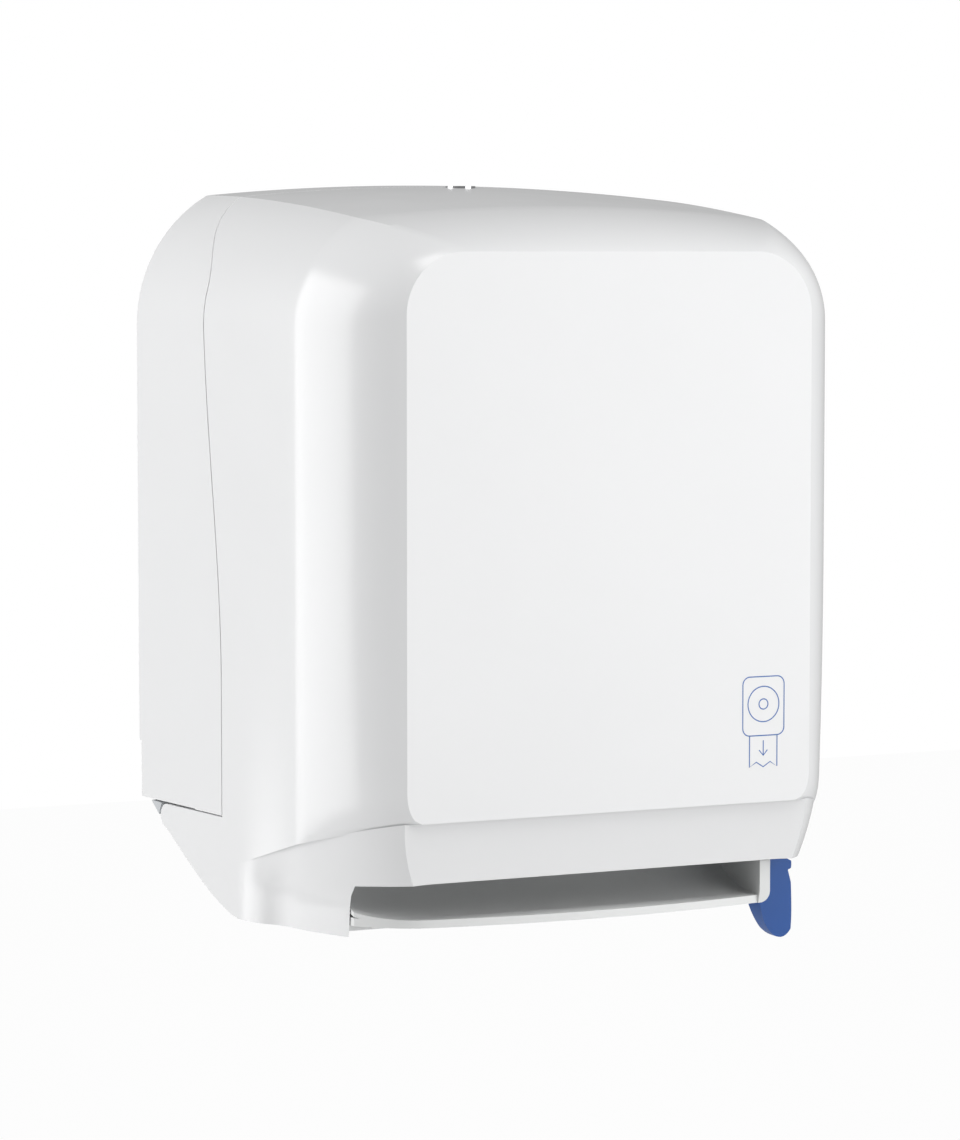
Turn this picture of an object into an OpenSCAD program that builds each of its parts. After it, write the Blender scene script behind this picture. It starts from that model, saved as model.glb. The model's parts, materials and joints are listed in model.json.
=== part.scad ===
// Wall-mounted paper towel dispenser with a push lever, in millimetres.
// The origin is the centre of the four wall screws, on the wall. +Z is up, +X is to the right
// as seen from the front, and the front faces -Y.
// Modules are drawn in room-side coordinates: x across, d the depth behind the front panel,
// and h the height above the chin's lower edge. in_frame() moves them to the origin.

/* [Casing] */
// Width of the casing at the wall
body_w = 330; // [300:1:400]
// Depth from the front panel to the wall
body_d = 224; // [214:1:270]
// Height from the chin's lower edge to the crown
body_h = 374; // [366:1:450]
// Thickness of the moulded casing
wall_t = 2.6; // [2:0.1:3.4]
// Width of the flat front panel
panel_w = 226; // [190:1:240]
// Height of the front panel's straight top edge below the crown
panel_drop = 35.5; // [25:0.5:45]
// Corner radius of the front panel
panel_r = 31; // [15:1:45]
// How far each side draws in from the wall to the front crease
side_draft = 18.1; // [8:0.1:22]
// Depth of the rounded band between the panel and the crease
band_d = 53.5; // [40:0.1:60]
// Crown height lost at the front crease
crown_fall = 13; // [6:0.5:20]
// Height of the corner arcs below the crown, where the straight sides end
shoulder_drop = 74; // [60:1:90]
// Sweep of the corner arcs, up to the crisp top edge
shoulder_sweep = 61; // [50:1:75]
// Rise of the arched top over its crisp edges
arch_rise = 6; // [3:0.5:9]
// Height of the styling lip across the front
lip_h = 60; // [54:1:66]
// Fall of the styling lip for each millimetre towards the wall
lip_slope = 0.27; // [0.15:0.01:0.3]
// Depth of the step under the styling lip
lip_step = 3; // [2:0.1:4]
// How far the chin's lower corners draw in towards the middle
chin_round = 10; // [6:0.5:12]
// Gap between the cover and the rear shell
seam_gap = 0.8; // [0.4:0.1:1.5]
// Distance from the wall of the seam at the lower sides
seam_low = 90.5; // [84:0.5:100]
// Distance from the wall of the seam at the shoulders
seam_shoulder = 73; // [64:0.5:80]
// Distance from the wall of the seam on the crown
seam_top = 36; // [30:0.5:46]
// Height of the rear shell's lower edge
rear_low = 51.3; // [50:0.1:56]

/* [Wall plate] */
// Thickness of the wall plate
plate_t = 3; // [2:0.1:5]
// Space between the wall plate's edge and the casing's outside
plate_inset = 4.6; // [4:0.1:10]
// Height of the wall screws' centre above the chin's lower edge
mount_h = 190; // [180:1:205]
// Distance between the wall screws across
mount_w = 200; // [160:1:210]
// Distance between the wall screws up
mount_rise = 200; // [160:1:220]
// Radius of the wall screw holes
mount_r = 3; // [2:0.1:4]

/* [Paper roll] */
// Width of the paper roll
roll_w = 203; // [190:1:206]
// Radius of a full paper roll
roll_r = 98; // [70:1:98]
// Radius of the hubs that fill the roll's core
core_r = 18.5; // [15:0.5:22]
// Offset of the paper's centre line to the right of the casing's
paper_x = -21; // [-22:1:-20]
// Height of the roll's axis
roll_h = 254; // [250:1:262]

/* [Feed unit] */
// Radius of the feed drum over its rubber sleeves
drum_r = 22; // [18:0.5:23]
// Radius of the pressure roller
nip_r = 9; // [7:0.5:10]
// Radius of the feed shaft
shaft_r = 4; // [3:0.1:5]
// Radial clearance of every shaft in its bush
run_gap = 0.05; // [0.02:0.01:0.1]
// Height of the feed shaft
feed_h = 75; // [70:1:80]
// Depth of the feed shaft behind the front panel
feed_d = 67; // [64:1:72]
// Thickness of the side cheeks of the feed unit
cheek_t = 3; // [2:0.5:4]
// Teeth of the pinion on the feed shaft
pinion_teeth = 14; // [12:1:16]
// Teeth that a full turn of the lever's sector would have
sector_teeth = 56; // [48:1:60]
// Module of the lever's gears
gear_module = 2; // [1.8:0.1:2]
// Teeth of the ratchet wheel
ratchet_teeth = 16; // [12:4:20]

/* [Lever] */
// Width of the lever's paddle
lever_w = 21; // [16:1:23]
// Thickness of the lever's paddle
lever_t = 14; // [10:1:16]
// How far the paddle hangs below the chin
lever_hang = 16.5; // [8:0.5:30]
// Depth of the paddle's front face behind the front panel
lever_d = 34; // [32:0.5:36]
// Depth of the lever's pivot behind the front panel
pivot_d = 40; // [38:0.5:44]

/* [Outlet] */
// Left end of the outlet, measured from the casing's middle
outlet_left = -126; // [-128:1:-124]
// Right end of the outlet tray, measured from the casing's middle
outlet_right = 97; // [95:0.5:98]
// Height of the outlet's upper edge
outlet_h = 29.3; // [27:0.1:33]
// Height of the tray's lip
tray_lip_h = 10.2; // [9:0.1:12]
// Thickness of the tray's lip
tray_lip_t = 4; // [3:0.1:5]
// Rise of the tray's curved floor
tray_rise = 21; // [16:0.5:22]

/* [Hidden] */
$fn = 64;

// Casing, seen as sections that grow from the front panel to the wall
half_w = body_w / 2;
crease_w = half_w - side_draft;
panel_top = body_h - panel_drop;
shoulder_h = body_h - shoulder_drop;
crown_front = body_h - crown_fall;
seam_low_d = body_d - seam_low;
seam_shoulder_d = body_d - seam_shoulder;
seam_top_d = body_d - seam_top;
skin_low = -12;
band_start = 12;
band_end = 55;
// The seam leaves its low line at one height and meets its shoulder line at another
seam_bend_low = 120;
seam_bend_high = shoulder_h + 20;
// Where the step under the lip runs out on the sides
lip_run = 114;
// The corners below this height curve back and inwards towards the chin
tuck_h = 190;
tuck_span = 137;
tuck_back = 4.5;
tuck_in = 1.5;
chin_low = 20;
chin_back = 4.5;
chin_corner_back = 7.2;
chin_corner_in = 3.6;
chin_step_in = 1.3;
// The cover's lower rear corners end in round ears at the hinge
wing_top = rear_low - 1;
wing_end = body_d - 12;
bottom_flat = body_d - 108;
floor_d0 = 58;
floor_d1 = body_d - 38;
n_low = 5;
n_side = 8;
n_arc = 8;
n_top = 6;
n_half = n_low + n_side + n_arc + n_top + 2;
n_band = 7;
n_back = 7;

// Cover hinge
hinge_d = body_d - 30;
hinge_h = 44;
hinge_r = 3;
ear_r = 6;
ear_t = 5;
ear_gap = 0.6;
wing_r = 6.5;
// Outside and inside faces of the cover's wings at the hinge
wing_outside = half_w - side_draft * (body_d - hinge_d) / (body_d - band_d);
wing_inside = wing_outside - wall_t;
bracket_x = wing_inside - ear_t - ear_gap - ear_t;

// Feed unit
cheek_in = 104;
cheek_l = paper_x - cheek_in;
cheek_r = paper_x + cheek_in;
plate_face = body_d - plate_t;
cheek_top = 172;
cheek_low = 38;
flange_w = 13;
cheek_front = 23;
cheek_low_front = 38;
nip_gap = 0.3;
nip_d = feed_d - drum_r - nip_r - nip_gap;
nip_shaft_r = 3;
block_s = 10;
block_proud = 1.2;
// The blocks' outer front corners are cut off, and the shaft ends inside them
block_cut = 3.8;
shaft_short = 1.4;
spring_len = 6;
spring_r = 2.4;
spring_wire = 0.4;
bush_r = shaft_r + 2;
bush_flange_r = shaft_r + 5;
bush_flange_t = 1.2;
drum_core = drum_r - 2;
drum_len = 2 * cheek_in - 6;
sleeve_n = 4;
sleeve_w = 28;

// Gears: the pinion turns on the feed shaft and the sector on the lever's pivot
gear_t = 7;
gear_x = cheek_r + cheek_t + 8.5;
boss_t = 2.5;
pinion_r = gear_module * pinion_teeth / 2;
sector_r = gear_module * sector_teeth / 2;
backlash = 0.12;
pivot_h = feed_h + sqrt(pow(pinion_r + sector_r, 2) - pow(feed_d - pivot_d, 2));
mesh_angle = atan2(feed_h - pivot_h, feed_d - pivot_d);
lever_swing = 20;
pivot_r = 4;
clutch_r = 9;
clutch_len = 6;
lever_x = gear_x + gear_t + boss_t;
lever_right = lever_x + lever_w;
arm_t = 8;
// Back of the paddle, as [share of its thickness, height over its lower end]
paddle_back = [[1, 24.5], [0.92, 16.5], [0.78, 11.5], [0.68, 7.5], [0.62, 4], [0.46, 1.2], [0.14, 0]];
// Lower end of the paddle: half of an ellipse, this much higher than wide
paddle_end = 1.2;
// Cut on its right front edge
paddle_cut_x = 2.5;
paddle_cut_d = 3.5;
ring_t = 1.5;
post_r = 2.5;
post_d = pivot_d + 62;
tail_h = 20;
spring_x = lever_x + 5;
coil_r = 3;
coil_wire = 0.6;

// Ratchet, pawl and hand wheel at the left end of the feed shaft
ratchet_x = cheek_l - cheek_t - 1.6;
ratchet_t = 3.5;
ratchet_r = 15;
ratchet_depth = 2.2;
wheel_t = 4;
wheel_r = 17;
pawl_d = feed_d + 24;
pawl_h = feed_h + 20;
pawl_pin_r = 2;

// Roll arms and hubs
roll_d = plate_face - roll_r - 9;
arm_in = roll_w / 2 + 4.6;
arm_plate = 3;
hub_flange = 2;
hub_len = 14;
hub_pin_r = 4;
arm_hinge_d = plate_face - 11;
arm_hinge_r = 2.5;
arm_knuckle_r = 6;

// Lock on the crown of the cover
lock_d = seam_top_d - 13;
lock_r = 8;
plug_r = 5.5;
lock_proud = 0.8;
cam_t = 3;
cam_w = 9;
cam_reach = 25;
cam_tooth = 4;
catch_lip = 14.5;
catch_w = 18;
catch_t = 2;
catch_drop = 8;
catch_top = crown_front + 1;
// The cam passes this far under the catch's lip, and its tooth stands behind the lip
cam_under = 2;
cam_top = catch_top - catch_drop - cam_under;

screw_r = 1.5;
screw_head_r = 3.2;
screw_head_t = 2;

module in_frame() {
    translate([0, -body_d, -mount_h]) children();
}

// Turns a profile drawn in (d, h) into a plate of thickness t that starts at x
module across(x, t) {
    translate([x, 0, 0]) rotate([90, 0, 90]) linear_extrude(t) children();
}

// A rod along x
module rod_x(x, d, h, r, len) {
    translate([x, d, h]) rotate([0, 90, 0]) cylinder(r = r, h = len);
}

// A rod along the depth, from d towards the wall
module rod_d(x, d, h, r, len) {
    translate([x, d, h]) rotate([-90, 0, 0]) cylinder(r = r, h = len);
}

// A screw along the depth with its head on the room side of depth d
module screw_d(x, d, h, len) {
    rod_d(x, d, h, screw_r, len);
    rod_d(x, d - screw_head_t, h, screw_head_r, screw_head_t);
}

function smooth(u) = let (v = max(0, min(1, u))) v * v * (3 - 2 * v);
function mix(a, b, u) = a + (b - a) * u;

// ---- Casing surface ----
function lip_at(d) = lip_h - lip_slope * d;
// Growth of the band across its depth: 0 at the panel, 1 at the crease
function band_sin(a) = (sin(a) - sin(band_start)) / (sin(band_end) - sin(band_start));
function band_cos(a) = (cos(band_start) - cos(a)) / (cos(band_start) - cos(band_end));
function band_angle(row) = mix(band_start, band_end, min(1, row / n_band));
function row_d(row) = row <= n_band
    ? band_d * band_cos(band_angle(row))
    : mix(band_d, body_d, (row - n_band) / n_back);
function row_grow(row) = row <= n_band ? band_sin(band_angle(row)) : 1;
function back_share(row) = max(0, row - n_band) / n_back;
function side_w(row) = mix(crease_w, half_w, back_share(row));
function crown_at(row) = mix(crown_front, body_h, 1 - pow(1 - back_share(row), 1.6));

// Point [x, h] of the corner arc and arched top for a width, shoulder height and crown height
function arc_r(w, crown) = (crown - arch_rise - shoulder_h) / sin(shoulder_sweep);
function edge_x(w, crown) = w - arc_r(w, crown) * (1 - cos(shoulder_sweep));
function outline_pt(w, crown, i, low) =
    i <= n_low + 1 + n_side
        ? [w, i <= n_low ? mix(skin_low, low, i / n_low) : mix(low, shoulder_h, (i - n_low - 1) / n_side)]
    : i <= n_low + 1 + n_side + n_arc
        ? let (a = shoulder_sweep * (i - n_low - 1 - n_side) / n_arc, r = arc_r(w, crown))
          [w - r * (1 - cos(a)), shoulder_h + r * sin(a)]
    : let (q = (i - n_low - 1 - n_side - n_arc) / n_top)
      [edge_x(w, crown) * (1 - q), crown - arch_rise * pow(1 - q, 2)];
// Share of the way down the chin: 0 at the lip, 1 near the lower edge
function chin_share(h, low) = max(0, min(1, (low - h) / (low - chin_low)));
function panel_pt(i, low) =
    i <= n_low
        ? let (h = mix(skin_low, low, i / n_low)) [panel_w / 2 - chin_round * pow(chin_share(h, low), 2), h]
    : i <= n_low + 1 + n_side
        ? [panel_w / 2, mix(low, panel_top - panel_r, (i - n_low - 1) / n_side)]
    : i <= n_low + 1 + n_side + n_arc
        ? let (a = 90 * (i - n_low - 1 - n_side) / n_arc)
          [panel_w / 2 - panel_r * (1 - cos(a)), panel_top - panel_r + panel_r * sin(a)]
    : let (q = (i - n_low - 1 - n_side - n_arc) / n_top)
      [(panel_w / 2 - panel_r) * (1 - q), panel_top];
// Direction [x, h] in which the wall thickness is taken off
function out_dir(i) =
    i <= n_low + 1 + n_side ? [1, 0]
    : i <= n_low + 1 + n_side + n_arc
        ? let (a = 75 * (i - n_low - 1 - n_side) / n_arc) [cos(a), sin(a)]
    : [0, 1];

// One point of the casing: column i of n_half, a row, and the inset t from the outside
function skin_pt(i, row, t) =
    let (
        d0 = row_d(row),
        low = lip_at(d0),
        grow = row_grow(row),
        p = panel_pt(i, low),
        c = outline_pt(side_w(row), crown_at(row), i, low),
        q = [mix(p[0], c[0], grow), mix(p[1], c[1], grow)],
        fade = row <= n_band ? 1 : 1 - smooth((d0 - band_d) / (lip_run - band_d)),
        corner = grow * fade,
        k = i > n_low + 1 + n_side ? 0 : pow(max(0, tuck_h - q[1]) / tuck_span, 2),
        chin = i > n_low ? 0 : 1,
        ck = chin * chin_share(q[1], low),
        back = corner * tuck_back * k
            + chin * lip_step * max(fade, 0.02) + ck * (chin_back * fade + chin_corner_back * corner),
        inward = corner * tuck_in * k + corner * (chin * chin_step_in + ck * chin_corner_in)
            + chin * 0.04,
        lean = row <= n_band ? mix(20, 90, grow) : 90,
        dir = out_dir(i),
        ledge = (i == n_low || i == n_low + 1) ? t : 0,
        low_end = i == 0 ? -t : 0
    )
    [
        q[0] - inward - t * dir[0] * sin(lean),
        d0 + back + t * cos(lean) + (row == n_band + n_back && t > 0 ? 1 : 0),
        q[1] - t * dir[1] * sin(lean) + ledge + low_end
    ];

n_rows = n_band + n_back + 1;
n_cols = 2 * n_half - 1;
function col_pt(j, row, t) = j < n_half
    ? let (p = skin_pt(j, row, t)) [-p[0], p[1], p[2]]
    : skin_pt(n_cols - 1 - j, row, t);
function grid_at(j, row) = row * n_cols + j;

// The casing as one solid block, inset by t all round
module skin_block(t) {
    points = [for (row = [0:n_rows - 1], j = [0:n_cols - 1]) col_pt(j, row, t)];
    last = n_rows - 1;
    arc_top = n_low + 1 + n_side + n_arc;
    skin = [for (row = [0:last - 1], j = [0:n_cols - 2])
        [grid_at(j, row + 1), grid_at(j + 1, row + 1), grid_at(j + 1, row), grid_at(j, row)]];
    front = [for (j = [0:arc_top - 2])
        [grid_at(j + 1, 0), grid_at(n_cols - 2 - j, 0), grid_at(n_cols - 1 - j, 0), grid_at(j, 0)]];
    front_cap = [[for (j = [arc_top - 1:n_cols - arc_top]) grid_at(j, 0)]];
    back = [for (j = [0:arc_top - 2])
        [grid_at(n_cols - 1 - j, last), grid_at(n_cols - 2 - j, last),
            grid_at(j + 1, last), grid_at(j, last)]];
    back_cap = [[for (j = [n_cols - arc_top:-1:arc_top - 1]) grid_at(j, last)]];
    under = [for (row = [0:last - 1])
        [grid_at(n_cols - 1, row), grid_at(n_cols - 1, row + 1), grid_at(0, row + 1), grid_at(0, row)]];
    polyhedron(points = points, faces = concat(skin, front, front_cap, back, back_cap, under), convexity = 6);
}

// Depth of the seam at a height
function seam_at(h) = h <= seam_bend_high
    ? mix(seam_low_d, seam_shoulder_d, smooth((h - seam_bend_low) / (seam_bend_high - seam_bend_low)))
    : mix(seam_shoulder_d, seam_top_d, smooth((h - seam_bend_high) / (body_h - seam_bend_high)));
seam_line = [for (h = [rear_low:8:seam_bend_high]) [seam_at(h), h]];
seam_crown = [for (k = [0:8]) let (h = mix(seam_bend_high, body_h + 6, k / 8)) [seam_at(h), h]];
seam_path = concat([for (p = seam_line) if (p[1] < seam_bend_high - 1) p], seam_crown);

// Lower edge of the cover from the chin back to the wing's end, [d, h]
under_path = [
    [bottom_flat, 0], [bottom_flat + 10, 1.6], [bottom_flat + 28, 8.7],
    [bottom_flat + 46, 18], [bottom_flat + 82, 39.8], [wing_end, wing_top - 0.6]
];

module cover_profile() {
    difference() {
        polygon(concat(
            [[-6, 0]], under_path, [[wing_end, wing_top], [seam_low_d - seam_gap / 2, wing_top]],
            [for (p = seam_path) [p[0] - seam_gap / 2, max(p[1], wing_top)]],
            [[-6, body_h + 6]]
        ));
        // Behind the hinge the wing is a round end that turns in place
        difference() {
            translate([hinge_d, 0]) square([40, wing_top + 1]);
            translate([hinge_d, hinge_h]) circle(r = wing_r - 0.3);
        }
    }
}

module rear_profile() {
    relief = 2.5;
    relief_h = 81;
    polygon(concat(
        [[body_d - relief, rear_low], [body_d - relief, relief_h], [body_d, relief_h], [body_d, body_h + 6]],
        [for (k = [len(seam_path) - 1:-1:0]) [seam_path[k][0] + seam_gap / 2, seam_path[k][1]]]
    ));
}

// ---- Wall side ----
// Outline of the wall plate: the casing's section at the wall, drawn in by the plate's inset
function plate_side(s) = [for (i = [n_low + 1:n_half - 1])
    let (
        p = outline_pt(half_w, body_h, i, rear_low + 2),
        a = out_dir(i)
    )
    [s * (p[0] - plate_inset * a[0]), p[1] - plate_inset * a[1]]];
module plate_outline() {
    left = plate_side(-1);
    right = plate_side(1);
    polygon(concat(left, [for (k = [len(right) - 2:-1:0]) right[k]]));
}

// Bracket on the wall plate that carries the cover's hinge, on the side s
module hinge_bracket(s) {
    x = s > 0 ? bracket_x : -bracket_x - ear_t;
    difference() {
        across(x, ear_t) union() {
            translate([hinge_d, hinge_h]) circle(r = ear_r);
            polygon([
                [hinge_d, hinge_h + ear_r], [hinge_d + 2, hinge_h - 2],
                [plate_face + 0.5, rear_low + 4], [plate_face + 0.5, rear_low + 28]
            ]);
        }
        rod_x(x - 1, hinge_d, hinge_h, hinge_r, ear_t + 2);
    }
    // Filler that carries the casing's outline on behind the cover's wing
    reach = wing_outside + 1 - bracket_x;
    difference() {
        across(s > 0 ? bracket_x : -bracket_x - reach, reach) polygon([
            [hinge_d + 8, wing_top - 6.3], [wing_end, wing_top - 0.6], [wing_end, wing_top],
            [hinge_d + 4.5, wing_top]
        ]);
        rod_x(-half_w, hinge_d, hinge_h, wing_r + 0.5, body_w);
    }
}

module back_plate() {
    color("gainsboro") in_frame() {
        difference() {
            translate([0, body_d, 0]) rotate([90, 0, 0]) linear_extrude(plate_t) plate_outline();
            for (sx = [-1, 1], sz = [-1, 1])
                rod_d(sx * mount_w / 2, plate_face - 1, mount_h + sz * mount_rise / 2, mount_r, plate_t + 2);
            for (p = plate_screw_spots()) rod_d(p[0], plate_face - 1, p[1], screw_r, plate_t + 2);
        }
        for (x = [-60, -20, 20, 60])
            translate([x - 1.5, plate_face - 2.5, 120]) cube([3, 2.6, 190]);
        for (s = [-1, 1]) hinge_bracket(s);
    }
}

shell_lug_x = half_w - 11.5;
shell_lug_h = [96, 280];
lug_t = 4;
cheek_screw_h = [70, 142];
arm_foot_h = [roll_h - 20, roll_h + 20];
bracket_screw_h = [roll_h - 26, roll_h + 26];
catch_screw_x = 5;
catch_screw_h = catch_top - 28;

// Every screw that enters the wall plate from the front, as [x, h]
function plate_screw_spots() = concat(
    [for (s = [-1, 1], h = shell_lug_h) [s * shell_lug_x, h]],
    [for (h = cheek_screw_h) [cheek_l - cheek_t - flange_w / 2 + 0.5, h]],
    [for (h = cheek_screw_h) [cheek_r + cheek_t + flange_w / 2 - 0.5, h]],
    [for (h = arm_foot_h) [paper_x - arm_in + 8, h]],
    [for (h = bracket_screw_h) [paper_x + arm_in + 14, h]],
    [for (s = [-1, 1]) [s * catch_screw_x, catch_screw_h]]
);

module rear_shell() {
    color("whitesmoke") in_frame() {
        resize([0, 0, 0]) difference() {
            intersection() {
                skin_block(0);
                across(-half_w - 5, body_w + 10) rear_profile();
            }
            skin_block(wall_t);
        }
        for (s = [-1, 1], h = shell_lug_h) {
            x0 = min(s * (shell_lug_x - 6), s * (half_w - 1));
            difference() {
                translate([x0, plate_face - lug_t, h - 7]) cube([half_w - 1 - shell_lug_x + 6, lug_t, 14]);
                rod_d(s * shell_lug_x, plate_face - lug_t - 1, h, screw_r + 0.1, lug_t + 2);
            }
        }
    }
}

module shell_screws() {
    color("silver") in_frame()
        for (s = [-1, 1], h = shell_lug_h)
            screw_d(s * shell_lug_x, plate_face - lug_t, h, lug_t + plate_t - 0.2);
}

module hinge_pins() {
    len = 2 * ear_t + ear_gap - 0.5;
    color("silver") in_frame() for (s = [-1, 1]) {
        rod_x(s > 0 ? bracket_x : -bracket_x - len, hinge_d, hinge_h, hinge_r, len);
        rod_x(s > 0 ? bracket_x - 1.5 : -bracket_x, hinge_d, hinge_h, hinge_r + 1.6, 1.5);
    }
}

module lock_catch() {
    tip = lock_d + catch_lip;
    low = catch_top - catch_drop;
    color("silver") in_frame() difference() {
        across(-catch_w / 2, catch_w) polygon([
            [plate_face, catch_top], [tip, catch_top], [tip, low], [tip + catch_t, low],
            [tip + catch_t, catch_top - catch_t], [plate_face - catch_t, catch_top - catch_t],
            [plate_face - catch_t, catch_top - 34], [plate_face, catch_top - 34]
        ]);
        for (s = [-1, 1])
            rod_d(s * catch_screw_x, plate_face - catch_t - 1, catch_screw_h, screw_r, catch_t + 2);
    }
}

module catch_screws() {
    color("silver") in_frame() for (s = [-1, 1])
        screw_d(s * catch_screw_x, plate_face - catch_t, catch_screw_h, catch_t + plate_t - 0.2);
}

// ---- Front cover ----
slot_bend = 95;
slot_fall = 0.0029;
slot_x1 = 91;
function slot_edge(x) = outlet_h - slot_fall * pow(max(0, abs(x) - slot_bend), 2);
// The cover's right lower corner is open for the lever from this depth on, up to these heights, [d, h]
notch_d = 21.5;
notch = [[notch_d - 2.5, 25.5], [notch_d, 32], [notch_d + 2, 41], [42, 43], [62, 36], [82, 30]];

// Everything the outlet and the lever's slot take out of the cover
module outlet_cuts() {
    corner_x = half_w + 10;
    translate([0, floor_d0, 0]) rotate([90, 0, 0]) linear_extrude(floor_d0 + 10) polygon(concat(
        [[outlet_left, -5]],
        [for (k = [0:6]) let (x = mix(outlet_left, -slot_bend, k / 6)) [x, slot_edge(x)]],
        [[slot_x1 + 1, outlet_h], [slot_x1 + 1, -5]]
    ));
    translate([0, 82, 0]) rotate([90, 0, 0]) linear_extrude(92) polygon(concat(
        [[slot_x1, -5], [slot_x1, outlet_h]],
        [for (k = [0:6]) let (x = mix(slot_bend, lever_right + 5, k / 6)) [x, slot_edge(x)]],
        [[corner_x, slot_edge(lever_right + 5)], [corner_x, -5]]
    ));
    across(lever_x - 4, corner_x - lever_x) polygon(concat([[notch_d - 2.5, -5]], notch, [[82, -5]]));
    translate([slot_x1 + 4, 60, -5]) cube([lever_right + 10 - slot_x1, 48, 12]);
}

module cover_floor() {
    intersection() {
        skin_block(0.5);
        across(-half_w, body_w) polygon([
            [floor_d0 - 30, 0], each [for (p = under_path) if (p[0] < floor_d1) p],
            [floor_d1, under_at(floor_d1)], [floor_d1 - 1.5, under_at(floor_d1) + wall_t * 1.3],
            each [for (k = [len(under_path) - 1:-1:0]) let (p = under_path[k])
                if (p[0] < floor_d1) [p[0] - 1.2, p[1] + wall_t]],
            [floor_d0 - 30, wall_t]
        ]);
    }
}

// Height of the cover's lower edge at a depth, along its sloping rear part
function under_at(d) = lookup(d, [for (p = under_path) p]);

module front_cover() {
    lock_top = crown_at_d(lock_d);
    color("whitesmoke") in_frame() {
        resize([0, 0, 0]) difference() {
            union() {
                difference() {
                    intersection() {
                        skin_block(0);
                        across(-half_w - 5, body_w + 10) cover_profile();
                    }
                    skin_block(wall_t);
                }
                cover_floor();
                // Inner cheek at the left end of the outlet
                intersection() {
                    skin_block(0.5);
                    across(outlet_left - 2.5, 2.5) polygon([[0, 0], [62, 0], [62, 26], [50, 34], [0, 34]]);
                }
                // Flat pad under the crown for the lock
                intersection() {
                    skin_block(0.5);
                    translate([0, lock_d, lock_top - wall_t - 1.4]) cylinder(r = 11.5, h = 5);
                }
                // Posts that the tray's screws enter
                for (x = tray_screw_x)
                    translate([x, tray_screw_d, 0.5]) cylinder(r = 3.5, h = wall_t - 0.5);
            }
            outlet_cuts();
            translate([0, lock_d, lock_top - 15]) cylinder(r = lock_r, h = 30);
            for (x = tray_screw_x) translate([x, tray_screw_d, 0.6]) cylinder(r = screw_r, h = 10);
        }
        for (s = [-1, 1]) hinge_ear(s);
    }
}

module hinge_ear(s) {
    x = s > 0 ? wing_inside - ear_t : -wing_inside - 0.7;
    difference() {
        across(x, ear_t + 0.7) union() {
            translate([hinge_d, hinge_h]) circle(r = ear_r);
            polygon([
                [hinge_d, hinge_h + ear_r], [hinge_d, hinge_h - ear_r],
                [hinge_d - 24, under_at(hinge_d - 24) + 1], [hinge_d - 24, hinge_h]
            ]);
        }
        rod_x(x - 1, hinge_d, hinge_h, hinge_r + run_gap, ear_t + 3);
    }
}

function crown_at_d(d) = let (g = (d - band_d) / (body_d - band_d))
    mix(crown_front, body_h, 1 - pow(1 - g, 1.6));

// ---- Outlet tray ----
tray_screw_x = [-112, -50, 12, 74];
tray_screw_d = 69;
tray_floor_h = wall_t;
tray_left = outlet_left + 0.6;
lip_r = 478;
lip_front = 5;
tray_d = 14;
tray_run = 44;
tray_sheet = 2;
lip_bend = 0.0156;
function lip_d(x) = lip_front + lip_r - sqrt(lip_r * lip_r - x * x)
    + lip_bend * pow(max(0, -x - slot_bend), 2);
tray_corner_r = 5;

module outlet_tray() {
    lip_low = tray_lip_h - tray_lip_t;
    plate_h = tray_floor_h + 2.6;
    inner = [for (k = [0:10]) let (a = 9 * k)
        [tray_d + tray_run * sin(a), tray_lip_h + tray_rise * (1 - cos(a))]];
    outer = [for (k = [10:-1:0]) let (a = 9 * k)
        [tray_d + (tray_run + tray_sheet) * sin(a), tray_lip_h - tray_sheet + tray_rise * (1 - cos(a))]];
    plan = [for (k = [0:20]) let (x = mix(tray_left, outlet_right, k / 20)) [x, lip_d(x)]];
    color("gainsboro") in_frame() difference() {
        union() {
            translate([0, 0, lip_low]) linear_extrude(tray_lip_t)
                polygon(concat(plan, [[outlet_right, 30], [-slot_bend, 40], [tray_left, 45]]));
            intersection() {
                across(tray_left, outlet_right - tray_left) polygon(concat(inner, outer));
                linear_extrude(body_h) polygon(concat(plan, [[outlet_right, 80], [tray_left, 80]]));
            }
            across(91, outlet_right - 91) polygon(concat(
                [[13, lip_low]], [[11.5, 12], [11.5, outlet_h - 1]],
                [[56, outlet_h - 1], [floor_d0 + 2, lip_low]]
            ));
            // Foot plate and ribs that carry the tray on the cover's floor
            translate([tray_left, 46, tray_floor_h]) cube([outlet_right - 6 - tray_left, 32, 2.6]);
            across(tray_left, outlet_right - tray_left)
                polygon([[56, plate_h - 1], [60, plate_h - 1], [60, 31], [tray_d + tray_run, 31], [56, 28]]);
            for (x = [-112, -81, -19, 43, 88]) across(x, 2)
                polygon([[32, lip_low + 1], [46, tray_floor_h], [58, tray_floor_h], [57, 22], [36, 12]]);
        }
        // Rounded lower right corner
        translate([outlet_right - tray_corner_r, 44, lip_low + tray_corner_r]) rotate([90, 0, 0])
            linear_extrude(44) polygon(concat(
                [[0, -tray_corner_r - 1], [tray_corner_r + 1, -tray_corner_r - 1], [tray_corner_r + 1, 0]],
                [for (a = [0:-18:-90]) [tray_corner_r * cos(a), tray_corner_r * sin(a)]]
            ));
        for (x = tray_screw_x)
            translate([x, tray_screw_d, tray_floor_h - 1]) cylinder(r = screw_r, h = 6);
    }
}

module tray_screws() {
    color("silver") in_frame() for (x = tray_screw_x) {
        translate([x, tray_screw_d, 0.8]) cylinder(r = screw_r, h = tray_floor_h + 2.6 - 0.8);
        translate([x, tray_screw_d, tray_floor_h + 2.6]) cylinder(r = screw_head_r, h = screw_head_t);
    }
}

// ---- Lock ----
lock_pad_h = crown_at_d(lock_d) - wall_t - 1.4;
lock_face_h = crown_at_d(lock_d) + lock_proud;

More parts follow.
